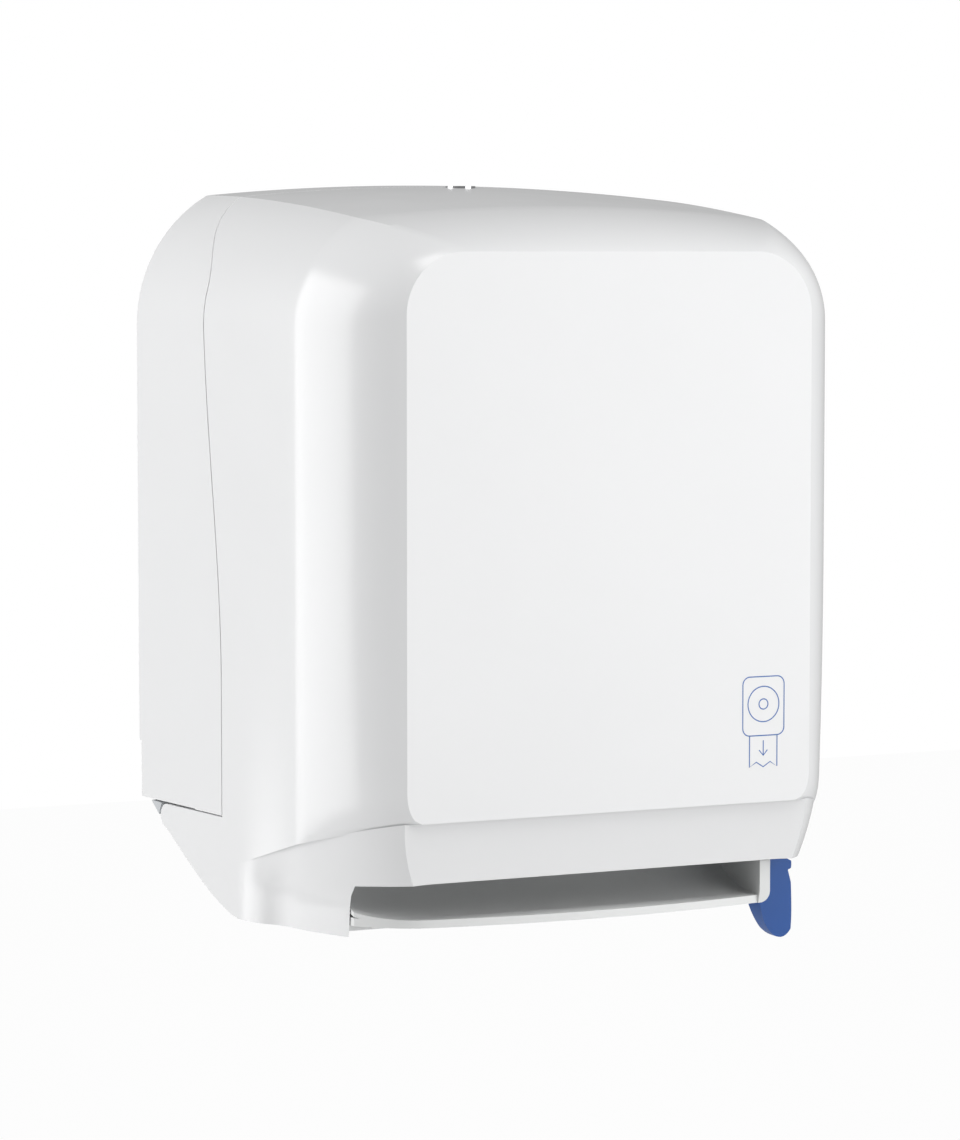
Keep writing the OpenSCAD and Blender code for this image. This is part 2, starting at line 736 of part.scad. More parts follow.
module lock_barrel() {
    color("silver") in_frame() difference() {
        translate([0, lock_d, cam_top + 0.4]) cylinder(r = lock_r, h = lock_face_h - cam_top - 0.4);
        translate([0, lock_d, cam_top]) cylinder(r = plug_r + run_gap, h = 40);
    }
}

module lock_nut() {
    color("silver") in_frame() difference() {
        translate([0, lock_d, lock_pad_h - 4]) cylinder(r = 11.5, h = 4);
        translate([0, lock_d, lock_pad_h - 5]) cylinder(r = lock_r, h = 6);
    }
}

module lock_plug() {
    color("dimgray") in_frame() difference() {
        translate([0, lock_d, cam_top - cam_t]) cylinder(r = plug_r, h = lock_face_h - 0.3 - cam_top + cam_t);
        translate([-0.6, lock_d - 3.2, lock_face_h - 8]) cube([1.2, 6.4, 9]);
        difference() {
            translate([0, lock_d, cam_top - cam_t - 1]) cylinder(r = plug_r + 1, h = cam_t + 1);
            translate([-3, lock_d - 3, cam_top - cam_t - 1]) cube([6, 6, cam_t + 2]);
        }
    }
}

module lock_cam() {
    color("dimgray") in_frame() {
        difference() {
            translate([0, 0, cam_top - cam_t]) linear_extrude(cam_t) union() {
                translate([0, lock_d]) circle(r = 7.5);
                translate([0, lock_d - cam_w / 2]) square([cam_reach, cam_w]);
            }
            translate([-3, lock_d - 3, cam_top - cam_t - 1]) cube([6, 6, cam_t + 2]);
        }
        translate([cam_reach - cam_tooth, lock_d - cam_w / 2, cam_top - 0.1]) cube([cam_tooth, cam_w, 5.1]);
    }
}

// ---- Feed unit frame ----
nip_slot_front = nip_d - block_s / 2 - spring_len;

module cheek_profile(front_low, front) {
    difference() {
        polygon([
            [front, cheek_top], [front, 64], [front_low, 50], [front_low, cheek_low],
            [150, cheek_low], [176, 46], [plate_face, 58],
            [plate_face, cheek_top - 22], [140, cheek_top - 22], [118, cheek_top - 26],
            [112, cheek_top]
        ]);
        translate([feed_d, feed_h]) circle(r = bush_r);
        translate([nip_slot_front, feed_h - block_s / 2 - 0.05])
            square([nip_d + block_s / 2 + 0.05 - nip_slot_front, block_s + 0.1]);
        for (p = rod_spots) translate(p) circle(r = 3);
        translate([162, 92]) circle(r = 17);
    }
}
rod_spots = [[108, 56], [92, 134]];

module left_cheek() {
    x = cheek_l - cheek_t;
    color("lightsteelblue") in_frame() difference() {
        union() {
            across(x, cheek_t) cheek_profile(cheek_low_front, cheek_front);
            translate([x - flange_w, plate_face - cheek_t, 58])
                cube([flange_w + 0.1, cheek_t, cheek_top - 22 - 58]);
        }
        rod_x(x - 1, pawl_d, pawl_h, pawl_pin_r, cheek_t + 2);
        for (h = cheek_screw_h) rod_d(cheek_l - cheek_t - flange_w / 2 + 0.5, plate_face - cheek_t - 1, h,
            screw_r, cheek_t + 2);
    }
}

module right_cheek() {
    color("lightsteelblue") in_frame() difference() {
        union() {
            across(cheek_r, cheek_t) cheek_profile(cheek_low_front, cheek_front);
            translate([cheek_r + cheek_t - 0.1, plate_face - cheek_t, 58])
                cube([flange_w + 0.1, cheek_t, cheek_top - 22 - 58]);
        }
        rod_x(cheek_r - 1, pivot_d, pivot_h, pivot_r, cheek_t + 2);
        rod_x(cheek_r - 1, post_d, pivot_h + tail_h, post_r, cheek_t + 2);
        for (h = cheek_screw_h) rod_d(cheek_r + cheek_t + flange_w / 2 - 0.5, plate_face - cheek_t - 1, h,
            screw_r, cheek_t + 2);
    }
}

module cheek_screws() {
    color("silver") in_frame() for (h = cheek_screw_h) {
        screw_d(cheek_l - cheek_t - flange_w / 2 + 0.5, plate_face - cheek_t, h, cheek_t + plate_t - 0.2);
        screw_d(cheek_r + cheek_t + flange_w / 2 - 0.5, plate_face - cheek_t, h, cheek_t + plate_t - 0.2);
    }
}

module tie_rods() {
    color("silver") in_frame() for (p = rod_spots)
        rod_x(cheek_l - cheek_t, p[0], p[1], 3, 2 * cheek_in + 2 * cheek_t);
}

module upper_guide() {
    color("gainsboro") in_frame() across(cheek_l, 2 * cheek_in) polygon([
        [22, 148], [24, 149], [35.5, 99], [40, 90], [38, 89.5], [33.5, 98]
    ]);
}

module lower_guide() {
    color("gainsboro") in_frame() across(cheek_l, 2 * cheek_in) polygon([
        [44, 42], [62, 49.5], [84, 49.5], [84, 47.5], [63, 47.5], [46, 40.5]
    ]);
}

blade_d = 29;
blade_h = 40;
module blade_bar() {
    color("gainsboro") in_frame() difference() {
        translate([cheek_l, blade_d, blade_h]) cube([2 * cheek_in, 8, 11]);
        translate([cheek_l - 1, blade_d + 2, blade_h - 1]) cube([2 * cheek_in + 2, 4, 9.5]);
        for (x = rivet_x) rod_d(x, blade_d - 1, blade_h + 6, 1.5, 4);
    }
}

rivet_x = [for (k = [0:3]) mix(cheek_l + 12, cheek_r - 12, k / 3)];
module tear_blade() {
    teeth = 50;
    len = 2 * cheek_in - 6;
    low = blade_h - 6;
    color("silver") in_frame() difference() {
        translate([cheek_l + 3, blade_d, 0]) rotate([90, 0, 0]) linear_extrude(1) polygon(concat(
            [[len, blade_h + 10], [0, blade_h + 10]],
            [for (k = [0:2 * teeth]) [len * k / (2 * teeth), low + (k % 2 == 0 ? 2.4 : 0)]]
        ));
        for (x = rivet_x) rod_d(x, blade_d - 2, blade_h + 6, 1.5, 3);
    }
}

module blade_rivets() {
    color("silver") in_frame() for (x = rivet_x) {
        rod_d(x, blade_d - 1, blade_h + 6, 1.5, 3);
        rod_d(x, blade_d - 1.6, blade_h + 6, 2.6, 0.6);
    }
}

module bush(x, s) {
    difference() {
        union() {
            rod_x(x, feed_d, feed_h, bush_r, cheek_t);
            rod_x(s > 0 ? x + cheek_t : x - bush_flange_t, feed_d, feed_h, bush_flange_r, bush_flange_t);
        }
        rod_x(x - 5, feed_d, feed_h, shaft_r + run_gap, cheek_t + 10);
    }
}

module feed_bushes() {
    color("peru") in_frame() {
        bush(cheek_l - cheek_t, -1);
        bush(cheek_r, 1);
    }
}

// ---- Springs ----
// A coil of round wire along +Z, from 0 to len
module coil(r, wire, len, turns) {
    sides = 6;
    steps = turns * 10;
    points = [for (k = [0:steps], j = [0:sides - 1])
        let (a = 36 * k, b = 360 * j / sides, ring = r + wire * cos(b))
        [ring * cos(a), ring * sin(a), wire + (len - 2 * wire) * k / steps + wire * sin(b)]];
    tube = [for (k = [0:steps - 1], j = [0:sides - 1]) let (m = (j + 1) % sides)
        [k * sides + j, k * sides + m, (k + 1) * sides + m, (k + 1) * sides + j]];
    polyhedron(points = points, faces = concat(
        [[for (j = [sides - 1:-1:0]) j]], tube,
        [[for (j = [0:sides - 1]) steps * sides + j]]), convexity = 8);
}

module nip_springs() {
    color("silver") in_frame() for (x = [cheek_l - cheek_t / 2, cheek_r + cheek_t / 2])
        translate([x, nip_slot_front, feed_h]) rotate([-90, 0, 0]) coil(spring_r, spring_wire, spring_len, 3);
}

// ---- Lever and gears ----
function involute(a) = tan(a) * 180 / PI - a;
function tooth_half(z, m, r) = let (r0 = z * m / 2, rb = r0 * cos(20))
    90 / z - backlash / r0 * 90 / PI + involute(20) - (r > rb ? involute(acos(rb / r)) : 0);

// Gear outline round the origin with teeth from index k0 to k1, one tooth's middle at the angle turn
function gear_path(z, m, k0, k1, turn) = let (
    r0 = z * m / 2,
    steps = [-1.05 * m, -0.6 * m, -0.2 * m, 0.3 * m, 0.8 * m]
)
    [for (k = [k0:k1], side = [-1, 1], q = [0:4])
        let (r = r0 + steps[side < 0 ? q : 4 - q], a = turn + k * 360 / z + side * tooth_half(z, m, r))
        [r * cos(a), r * sin(a)]];

module pivot_pin() {
    color("silver") in_frame()
        rod_x(cheek_r, pivot_d, pivot_h, pivot_r, lever_x + arm_t + ring_t + 1.5 - cheek_r);
}

module pivot_ring() {
    color("silver") in_frame() difference() {
        rod_x(lever_x + arm_t + 0.3, pivot_d, pivot_h, pivot_r + 3, ring_t);
        rod_x(lever_x, pivot_d, pivot_h, pivot_r, 40);
    }
}

module spring_post() {
    color("silver") in_frame() {
        rod_x(cheek_r, post_d, pivot_h + tail_h, post_r, spring_x + 2.5 - cheek_r);
        rod_x(cheek_r + cheek_t, post_d, pivot_h + tail_h, post_r + 2, 1.5);
    }
}

module hook_ring(d) {
    translate([spring_x, d, pivot_h + tail_h]) rotate([0, 90, 0])
        rotate_extrude() translate([post_r + coil_wire + 0.15, 0]) circle(r = coil_wire, $fn = 12);
}

module lever_spring() {
    h = pivot_h + tail_h;
    reach = post_r + 2 * coil_wire;
    start = pivot_d + 9;
    len = post_d - pivot_d - 18;
    color("silver") in_frame() {
        translate([spring_x, start, h]) rotate([-90, 0, 0]) coil(coil_r, coil_wire, len, 18);
        hook_ring(pivot_d);
        hook_ring(post_d);
        for (d = [pivot_d + reach, start + len - 1]) {
            rod_d(spring_x, d, h, coil_wire, post_d - start - len - reach + 1);
        }
        for (d = [start, start + len - 2 * coil_wire])
            translate([spring_x - coil_wire, d, h - coil_wire])
                cube([coil_r + coil_wire, 2 * coil_wire, 2 * coil_wire]);
    }
}

module paddle() {
    low = -lever_hang;
    wide = lever_w / 2;
    high = wide * paddle_end;
    intersection() {
        translate([0, lever_d + lever_t, 0]) rotate([90, 0, 0]) linear_extrude(lever_t) polygon(concat(
            [for (a = [180:15:360]) [lever_x + wide + wide * cos(a), low + high + high * sin(a)]],
            [[lever_right - 0.6, 6], [lever_right - 2, 18.4], [lever_right - 1.9, 19.6]],
            [[lever_right - 0.7, 20.3], [lever_right - 0.5, 21.6], [lever_right - 1.4, 22.9]],
            [[lever_right - 6, 25], [lever_x + arm_t, 27]],
            [[lever_x + arm_t, 40], [lever_x, 40]]
        ));
        across(lever_x - 1, lever_w + 2) polygon(concat(
            [[lever_d, low], [lever_d, 40], [lever_d + lever_t, 40]],
            [for (p = paddle_back) [lever_d + lever_t * p[0], low + p[1]]]
        ));
        // The right front edge stands back, so that the opening cover passes it
        translate([0, 0, low - 1]) linear_extrude(42 + lever_hang) polygon([
            [lever_x - 1, lever_d - 1], [lever_right - paddle_cut_x, lever_d - 1],
            [lever_right - paddle_cut_x, lever_d], [lever_right, lever_d + paddle_cut_d],
            [lever_right, lever_d + lever_t + 1], [lever_x - 1, lever_d + lever_t + 1]
        ]);
    }
}

module push_lever() {
    color("royalblue") in_frame() difference() {
        union() {
            // Arm from the pivot down to the paddle
            across(lever_x, arm_t) polygon([
                [pivot_d - 9, pivot_h], [pivot_d + 9, pivot_h], [lever_d + lever_t, 60],
                [lever_d + lever_t, 30], [lever_d, 30], [lever_d, 60]
            ]);
            rod_x(lever_x - boss_t, pivot_d, pivot_h, 12, arm_t + boss_t);
            across(lever_x, 2.5) translate([pivot_d - 5, pivot_h]) square([10, tail_h + 4]);
            rod_x(lever_x, pivot_d, pivot_h + tail_h, post_r, spring_x + 2.5 - lever_x);
            paddle();
        }
        rod_x(lever_x - 10, pivot_d, pivot_h, pivot_r + run_gap, 40);
        for (p = sector_screw_spots) rod_x(lever_x - boss_t - 1, p[0], p[1], screw_r, boss_t + 6);
    }
}

sector_screw_spots = [for (a = [110, 230, 350]) [pivot_d + 8.4 * cos(a), pivot_h + 8.4 * sin(a)]];

module sector_gear() {
    k0 = -ceil((lever_swing + 7) * sector_teeth / 360);
    k1 = ceil(6 * sector_teeth / 360);
    path = gear_path(sector_teeth, gear_module, k0, k1, mesh_angle);
    color("ivory") in_frame() difference() {
        across(gear_x, gear_t) translate([pivot_d, pivot_h]) union() {
            polygon(concat([[-11, 0]], [[-11, -20]], path, [[14, -18]], [[11, 0]]));
            circle(r = 12);
        }
        rod_x(gear_x - 1, pivot_d, pivot_h, pivot_r + run_gap, gear_t + 2);
        for (p = sector_screw_spots) rod_x(gear_x - 1, p[0], p[1], screw_r, gear_t + 2);
    }
}

module sector_screws() {
    color("silver") in_frame() for (p = sector_screw_spots) {
        rod_x(gear_x, p[0], p[1], screw_r, gear_t + boss_t + 4);
        rod_x(gear_x - 1.6, p[0], p[1], screw_r + 1.2, 1.6);
    }
}

module drive_pinion() {
    path = gear_path(pinion_teeth, gear_module, 0, pinion_teeth - 1, mesh_angle + 180 + 180 / pinion_teeth);
    color("ivory") in_frame() difference() {
        across(gear_x, gear_t) translate([feed_d, feed_h]) polygon(path);
        rod_x(gear_x - 1, feed_d, feed_h, shaft_r + run_gap, gear_t + 2);
    }
}

module one_way_clutch() {
    color("silver") in_frame() difference() {
        rod_x(gear_x - clutch_len, feed_d, feed_h, clutch_r, clutch_len);
        rod_x(gear_x - clutch_len - 1, feed_d, feed_h, shaft_r + run_gap, clutch_len + 2);
    }
}

// ---- Feed shaft and rollers ----
shaft_x0 = cheek_l - cheek_t - 13;
module feed_shaft() {
    color("silver") in_frame() rod_x(shaft_x0, feed_d, feed_h, shaft_r, gear_x + gear_t + 1 - shaft_x0);
}

sleeve_x = [for (k = [0:sleeve_n - 1]) mix(cheek_l + 12, cheek_r - 12 - sleeve_w, k / (sleeve_n - 1))];
module feed_drum() {
    color("ivory") in_frame() difference() {
        union() {
            rod_x(cheek_l + 3, feed_d, feed_h, drum_core, drum_len);
            for (x = sleeve_x, end = [-1.5, sleeve_w]) rod_x(x + end, feed_d, feed_h, drum_core + 1.2, 1.5);
        }
        rod_x(cheek_l, feed_d, feed_h, shaft_r, 2 * cheek_in);
    }
}

module grip_sleeves() {
    color("dimgray") in_frame() for (x = sleeve_x) difference() {
        rod_x(x, feed_d, feed_h, drum_r, sleeve_w);
        rod_x(x - 1, feed_d, feed_h, drum_core, sleeve_w + 2);
    }
}

module ratchet_wheel() {
    step = 360 / ratchet_teeth;
    color("ivory") in_frame() difference() {
        across(ratchet_x - ratchet_t, ratchet_t) translate([feed_d, feed_h]) polygon([
            for (k = [0:ratchet_teeth - 1], q = [1, 0])
                let (a = 90 + k * step - q * 2, r = ratchet_r - q * ratchet_depth)
                [r * cos(a), r * sin(a)]
        ]);
        rod_x(ratchet_x - ratchet_t - 1, feed_d, feed_h, shaft_r, ratchet_t + 2);
    }
}

module hand_wheel() {
    x = ratchet_x - ratchet_t - wheel_t;
    color("royalblue") in_frame() difference() {
        rod_x(x, feed_d, feed_h, wheel_r, wheel_t);
        rod_x(x - 1, feed_d, feed_h, shaft_r, wheel_t + 2);
        for (k = [0:23]) translate([0, feed_d, feed_h]) rotate([15 * k, 0, 0])
            translate([0, 0, wheel_r + 0.4]) rotate([0, 90, 0]) translate([0, 0, x - 1])
            cylinder(r = 1.3, h = wheel_t + 2, $fn = 16);
    }
}

module nip_blocks() {
    front = nip_d - block_s / 2;
    color("ivory") in_frame() for (s = [-1, 1]) difference() {
        inner = paper_x + s * (cheek_in - block_proud);
        outer = paper_x + s * (cheek_in + cheek_t + block_proud);
        translate([0, 0, feed_h - block_s / 2]) linear_extrude(block_s) polygon([
            [inner, front], [outer - s * block_cut, front], [outer, front + 2 * block_cut],
            [outer, front + block_s], [inner, front + block_s]
        ]);
        rod_x(min(inner, outer) - 5, nip_d, feed_h, nip_shaft_r, cheek_t + 15);
    }
}

module nip_shaft() {
    reach = cheek_in + cheek_t - shaft_short;
    color("silver") in_frame() rod_x(paper_x - reach, nip_d, feed_h, nip_shaft_r, 2 * reach);
}

module nip_roller() {
    len = 2 * (cheek_in - 3);
    color("dimgray") in_frame() difference() {
        rod_x(cheek_l + 3, nip_d, feed_h, nip_r, len);
        rod_x(cheek_l, nip_d, feed_h, nip_shaft_r + run_gap, len + 10);
    }
}

// ---- Holding pawl ----
module pawl_pin() {
    color("silver") in_frame() rod_x(cheek_l - cheek_t - 9, pawl_d, pawl_h, pawl_pin_r, cheek_t + 9);
}

pawl_t = 3;
pawl_x = ratchet_x - 0.3 - pawl_t;
// The pawl is drawn riding on the tooth tips, this angle above where it drops into a gap
pawl_ride = 5;
module holding_pawl() {
    root = feed_h + ratchet_r - ratchet_depth;
    color("ivory") in_frame() difference() {
        across(pawl_x, pawl_t) translate([pawl_d, pawl_h]) rotate([0, 0, -pawl_ride])
            translate([-pawl_d, -pawl_h])
            union() {
                translate([pawl_d, pawl_h]) circle(r = 5);
                polygon([
                    [pawl_d, pawl_h + 5], [feed_d + 2.4, root + 5.6], [feed_d + 1, root + 0.6],
                    [feed_d + 8, root + 2.5], [pawl_d - 2, pawl_h - 4.4]
                ]);
            }
        rod_x(pawl_x - 1, pawl_d, pawl_h, pawl_pin_r + run_gap, pawl_t + 2);
    }
}

module pawl_spring() {
    len = 3.6;
    color("silver") in_frame()
        translate([pawl_x - 0.4 - len, pawl_d, pawl_h]) rotate([0, 90, 0]) coil(3.1, 0.4, len, 3);
}

// ---- Roll carriers ----
module arm_profile(back) {
    hull() {
        translate([roll_d, roll_h]) circle(r = 15);
        translate([back - 4, roll_h - 30]) square([4, 60]);
    }
}

module stub(x) {
    rod_x(x, roll_d, roll_h, hub_pin_r, hub_len + 1);
}

module left_arm() {
    x = paper_x - arm_in - arm_plate;
    color("gainsboro") in_frame() difference() {
        union() {
            across(x, arm_plate) arm_profile(plate_face);
            translate([x + arm_plate - 0.1, plate_face - 3, roll_h - 30]) cube([14, 3, 60]);
            stub(x + arm_plate - 0.1);
        }
        for (h = arm_foot_h) rod_d(paper_x - arm_in + 8, plate_face - 4, h, screw_r, 5);
    }
}

module left_arm_screws() {
    color("silver") in_frame() for (h = arm_foot_h)
        screw_d(paper_x - arm_in + 8, plate_face - 3, h, 3 + plate_t - 0.2);
}

// Hub for the roll's core, drawn on the right side of the left arm
module hub() {
    difference() {
        union() {
            rod_x(paper_x - arm_in + 0.5, roll_d, roll_h, core_r + 6, hub_flange);
            rod_x(paper_x - arm_in + 0.5, roll_d, roll_h, core_r - 0.5, hub_flange + hub_len);
        }
        rod_x(paper_x - arm_in - 1, roll_d, roll_h, hub_pin_r + run_gap, hub_len + 2.4);
        for (a = [0, 90, 180, 270]) translate([0, roll_d, roll_h]) rotate([a + 45, 0, 0])
            translate([paper_x - arm_in + 0.5 + hub_flange + 3, 0, 11.5]) rotate([0, 90, 0])
                cylinder(r = 3.4, h = hub_len);
    }
}

module mirror_paper() {
    translate([2 * paper_x, 0, 0]) mirror([1, 0, 0]) children();
}

module left_hub() {
    color("ivory") in_frame() hub();
}

module right_hub() {
    color("ivory") in_frame() mirror_paper() hub();
}

arm_hinge_x = paper_x + arm_in + arm_plate / 2;
arm_lug_h = 26;

module arm_bracket() {
    color("gainsboro") in_frame() difference() {
        union() {
            translate([arm_hinge_x - 6, plate_face - 2.4, roll_h - arm_lug_h - 4])
                cube([26, 2.4, 2 * arm_lug_h + 8]);
            for (h = [roll_h - arm_lug_h - 4, roll_h + arm_lug_h]) {
                translate([arm_hinge_x - 6, arm_hinge_d, h]) cube([12, plate_face - 0.1 - arm_hinge_d, 4]);
                translate([arm_hinge_x, arm_hinge_d, h]) cylinder(r = 6, h = 4);
            }
        }
        translate([arm_hinge_x, arm_hinge_d, roll_h - 50]) cylinder(r = arm_hinge_r, h = 100);
        for (h = bracket_screw_h) rod_d(paper_x + arm_in + 14, plate_face - 4, h, screw_r, 5);
    }
}

module bracket_screws() {
    color("silver") in_frame() for (h = bracket_screw_h)
        screw_d(paper_x + arm_in + 14, plate_face - 2.4, h, 2.4 + plate_t - 0.2);
}

module arm_hinge_pin() {
    color("silver") in_frame() {
        translate([arm_hinge_x, arm_hinge_d, roll_h - arm_lug_h - 4])
            cylinder(r = arm_hinge_r, h = 2 * arm_lug_h + 8);
        translate([arm_hinge_x, arm_hinge_d, roll_h + arm_lug_h + 4])
            cylinder(r = arm_hinge_r + 1.2, h = 1.2);
    }
}

module arm_spring() {
    color("silver") in_frame() translate([arm_hinge_x, arm_hinge_d, roll_h + 5])
        coil(4, 0.7, arm_lug_h - 6, 8);
}

module right_arm() {
    x = paper_x + arm_in;
    color("gainsboro") in_frame() difference() {
        union() {
            across(x, arm_plate) hull() {
                translate([roll_d, roll_h]) circle(r = 15);
                translate([arm_hinge_d - 10, roll_h - arm_lug_h + 1]) square([4, 29]);
            }
            translate([arm_hinge_x, arm_hinge_d, roll_h - arm_lug_h + 1])
                cylinder(r = arm_knuckle_r, h = arm_lug_h + 3);
            translate([x, arm_hinge_d - 8, roll_h - arm_lug_h + 1]) cube([arm_plate, 8, arm_lug_h + 3]);
            mirror_paper() stub(paper_x - arm_in - 0.1);
        }
        translate([arm_hinge_x, arm_hinge_d, roll_h - 50]) cylinder(r = arm_hinge_r + run_gap, h = 100);
    }
}

back_plate();
rear_shell();
shell_screws();
hinge_pins();
lock_catch();
catch_screws();
left_cheek();
right_cheek();
cheek_screws();
tie_rods();
upper_guide();
lower_guide();
blade_bar();
tear_blade();
blade_rivets();
feed_bushes();
nip_springs();
pivot_pin();
spring_post();
lever_spring();
pawl_pin();
pawl_spring();
left_arm();
left_arm_screws();
left_hub();
arm_bracket();
bracket_screws();
arm_hinge_pin();
arm_spring();
right_arm();
right_hub();
feed_shaft();
feed_drum();
grip_sleeves();
ratchet_wheel();
hand_wheel();
drive_pinion();
one_way_clutch();
push_lever();
sector_gear();
sector_screws();
pivot_ring();
nip_blocks();
nip_roller();
nip_shaft();
holding_pawl();
front_cover();
outlet_tray();
tray_screws();
lock_barrel();
lock_nut();
lock_plug();
lock_cam();
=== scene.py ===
"""Looks of the lever paper towel dispenser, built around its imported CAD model."""
import bpy
import bmesh
import json
import math
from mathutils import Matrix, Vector


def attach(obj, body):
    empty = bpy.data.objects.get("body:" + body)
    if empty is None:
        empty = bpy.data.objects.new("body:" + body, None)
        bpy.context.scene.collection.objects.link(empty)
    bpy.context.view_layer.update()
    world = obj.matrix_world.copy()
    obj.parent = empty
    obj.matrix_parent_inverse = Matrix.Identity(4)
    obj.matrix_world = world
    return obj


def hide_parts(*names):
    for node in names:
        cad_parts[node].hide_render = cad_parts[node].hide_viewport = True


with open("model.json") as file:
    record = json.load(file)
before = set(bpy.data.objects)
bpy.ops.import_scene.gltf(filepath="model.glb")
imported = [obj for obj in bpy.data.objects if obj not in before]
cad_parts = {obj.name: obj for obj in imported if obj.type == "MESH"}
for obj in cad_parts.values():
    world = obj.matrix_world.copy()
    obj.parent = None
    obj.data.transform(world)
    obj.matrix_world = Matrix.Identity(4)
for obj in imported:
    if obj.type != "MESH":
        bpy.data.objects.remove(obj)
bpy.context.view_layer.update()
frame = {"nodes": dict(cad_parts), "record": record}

# ---- Sizes in mm, as in the CAD: x across, d depth behind the front panel, h height over the chin ----
# Casing, and the height of the mount that is the frame's origin
BODY_W, BODY_D, BODY_H, WALL = 330.0, 224.0, 374.0, 2.6
MOUNT_H = 190.0
# Front panel; its lower corners, with how far in they go as a share; and the strip inside its edge
# that keeps its shading flat
PANEL_W, PANEL_TOP, PANEL_R = 226.0, 338.5, 31.0
PANEL_LOW_R, PANEL_LOW_IN, PANEL_STRIP = 15.0, 0.55, 1.2
HALF_W, SIDE_DRAFT = BODY_W / 2, 18.1
CREASE_W = HALF_W - SIDE_DRAFT
# Band that turns from the panel to the sides, between two angles, and half the width of the crease
BAND_D, BAND_START, BAND_END = 53.5, 12.0, 55.0
BAND_LENGTH, CREASE_SOFT = 62.0, 5.0
CROWN_FRONT, CROWN_POWER, SHOULDER_H, SWEEP, ARCH = 361.0, 1.6, 300.0, 61.0, 6.0
# Ledge below the panel, the tuck of the lower corners, and the chin under the ledge
LIP_H, LIP_SLOPE, LIP_STEP, LIP_RUN = 60.0, 0.27, 3.0, 114.0
TUCK_H, TUCK_SPAN, TUCK_BACK, TUCK_IN = 190.0, 137.0, 4.5, 1.5
CHIN_LOW, CHIN_BACK, CHIN_CORNER_BACK, CHIN_CORNER_IN, CHIN_STEP_IN = 20.0, 4.5, 7.2, 3.6, 1.3
CHIN_ROUND = 10.0
SKIN_LOW = -12.0
# Seam between the cover and the rear casing, the casing's lower end, the cover's wings and hinge
# ears, the casing's screw lugs, and the lock
SEAM_LOW_D, SEAM_SHOULDER_D, SEAM_TOP_D, SEAM_GAP = 133.5, 151.0, 188.0, 0.8
REAR_LOW, WING_TOP, WING_END = 51.3, 50.3, 212.0
HINGE_D, HINGE_H, WING_R = 194.0, 44.0, 6.2
EAR_RUN, EAR_R, PIN_HOLE_R = 24.0, 6.0, 3.05
LUG_X, LUG_D, LUG_T, LUG_HALF, LUG_HOLE_X, LUG_HOLE_R = 147.5, 217.0, 4.0, 7, 153.5, 1.6
LOCK_D, LOCK_R, LOCK_PAD_R = 175.0, 8.0, 11.5
# The cover's floor, the outlet in front of it, and the notch behind the lever as (d, h) points
FLOOR_D0, FLOOR_D1 = 58.0, 186.0
OUTLET_LEFT, OUTLET_RIGHT, OUTLET_H = -126.0, 97.0, 29.3
SLOT_BEND, SLOT_FALL, SLOT_X1 = 95.0, 0.0029, 91.0
NOTCH = [(19.0, 25.5), (21.5, 32.0), (23.5, 41.0), (42.0, 43.0), (62.0, 36.0), (82.0, 30.0)]
# Tray: its bowed lip, its curved sheet and its screws
LIP_FRONT, LIP_RADIUS, LIP_BEND, TRAY_LIP_H, TRAY_LIP_T = 5.0, 478.0, 0.0156, 10.2, 4.0
TRAY_D, TRAY_RUN, TRAY_RISE, TRAY_SHEET, TRAY_CORNER = 14.0, 44.0, 21.0, 2.0, 5.0
TRAY_SCREW_X, TRAY_SCREW_D = (-112.0, -50.0, 12.0, 74.0), 69.0
# Lever: the arm's inner face, the paddle, the pivot, and the paddle's back as shares of its
# thickness at heights over its lowest point
LEVER_X, LEVER_W, LEVER_T, LEVER_D, LEVER_LOW, ARM_T = 104.0, 21.0, 14.0, 34.0, -16.5, 8.0
PIVOT_D, PIVOT_H, PIVOT_R = 40.0, 75.0 + math.sqrt(70.0 ** 2 - 27.0 ** 2), 4.05
PADDLE_BACK = [(1, 24.5), (0.92, 16.5), (0.78, 11.5), (0.68, 7.5), (0.62, 4.0), (0.46, 1.2), (0.14, 0.0)]
# How far the way in turns, in degrees: over the arc, and from the panel to the sides
OUT_TURN, LEAN_FRONT, LEAN_SIDE = 75, 20.0, 90.0
# Small steps that keep the grid's points apart where a ledge or the band fades out, and how far the
# inner block reaches past the wall, which leaves the casing open at its back
STEP_LEAST, CHIN_IN_LEAST, BAND_LIFT, TAIL = 0.02, 0.04, 0.06, 1.0
# The paddle's lowest point, in from its right edge, the heights of the curves on both sides of it,
# the ball at the top of its edge, and the boss at the pivot with its screws
END_IN, LEFT_HIGH, RIGHT_HIGH = 8.5, 23.0, 13.5
BALL_IN, BALL_H, BALL_R = 3.1, 21.2, 2.1
BOSS_R, ARM_SCREW_RING, ARM_SCREW_R = 12.0, 8.4, 1.5
# How far cutting shapes reach past the casing, and how far inside its surface joined pieces stay
PAST_X, PAST, INSIDE = 5, 6.0, 0.5
# Grid: columns up one half of the outline, and rows from the panel to the wall
N_LOW, N_SIDE, N_ARC, N_TOP = 10, 32, 22, 18
N_HALF = N_LOW + N_SIDE + N_ARC + N_TOP + 2
N_BAND, N_BACK, N_BEND = 22, 26, 8
SIDE_END, LAST_ROW = N_LOW + 1 + N_SIDE, N_BAND + N_BACK
ARC_END = SIDE_END + N_ARC
# Edges that turn by more than this many degrees are bevelled
BEVEL_ANGLE = 25.0
# Span of a noise texture's values that is stretched over a look's whole range
NOISE_LOW, NOISE_HIGH = 0.3, 0.7
# Depth of the casing's middle in metres, which the lamps turn round
MIDDLE = -0.11


def at(x, d, h):
    """A point of the CAD's room-side coordinates, in the frame's metres."""
    return Vector((x, d - BODY_D, h - MOUNT_H)) / 1000


def smooth(u):
    u = max(0.0, min(1.0, u))
    return u * u * (3 - 2 * u)


def mix(a, b, u):
    return a + (b - a) * u


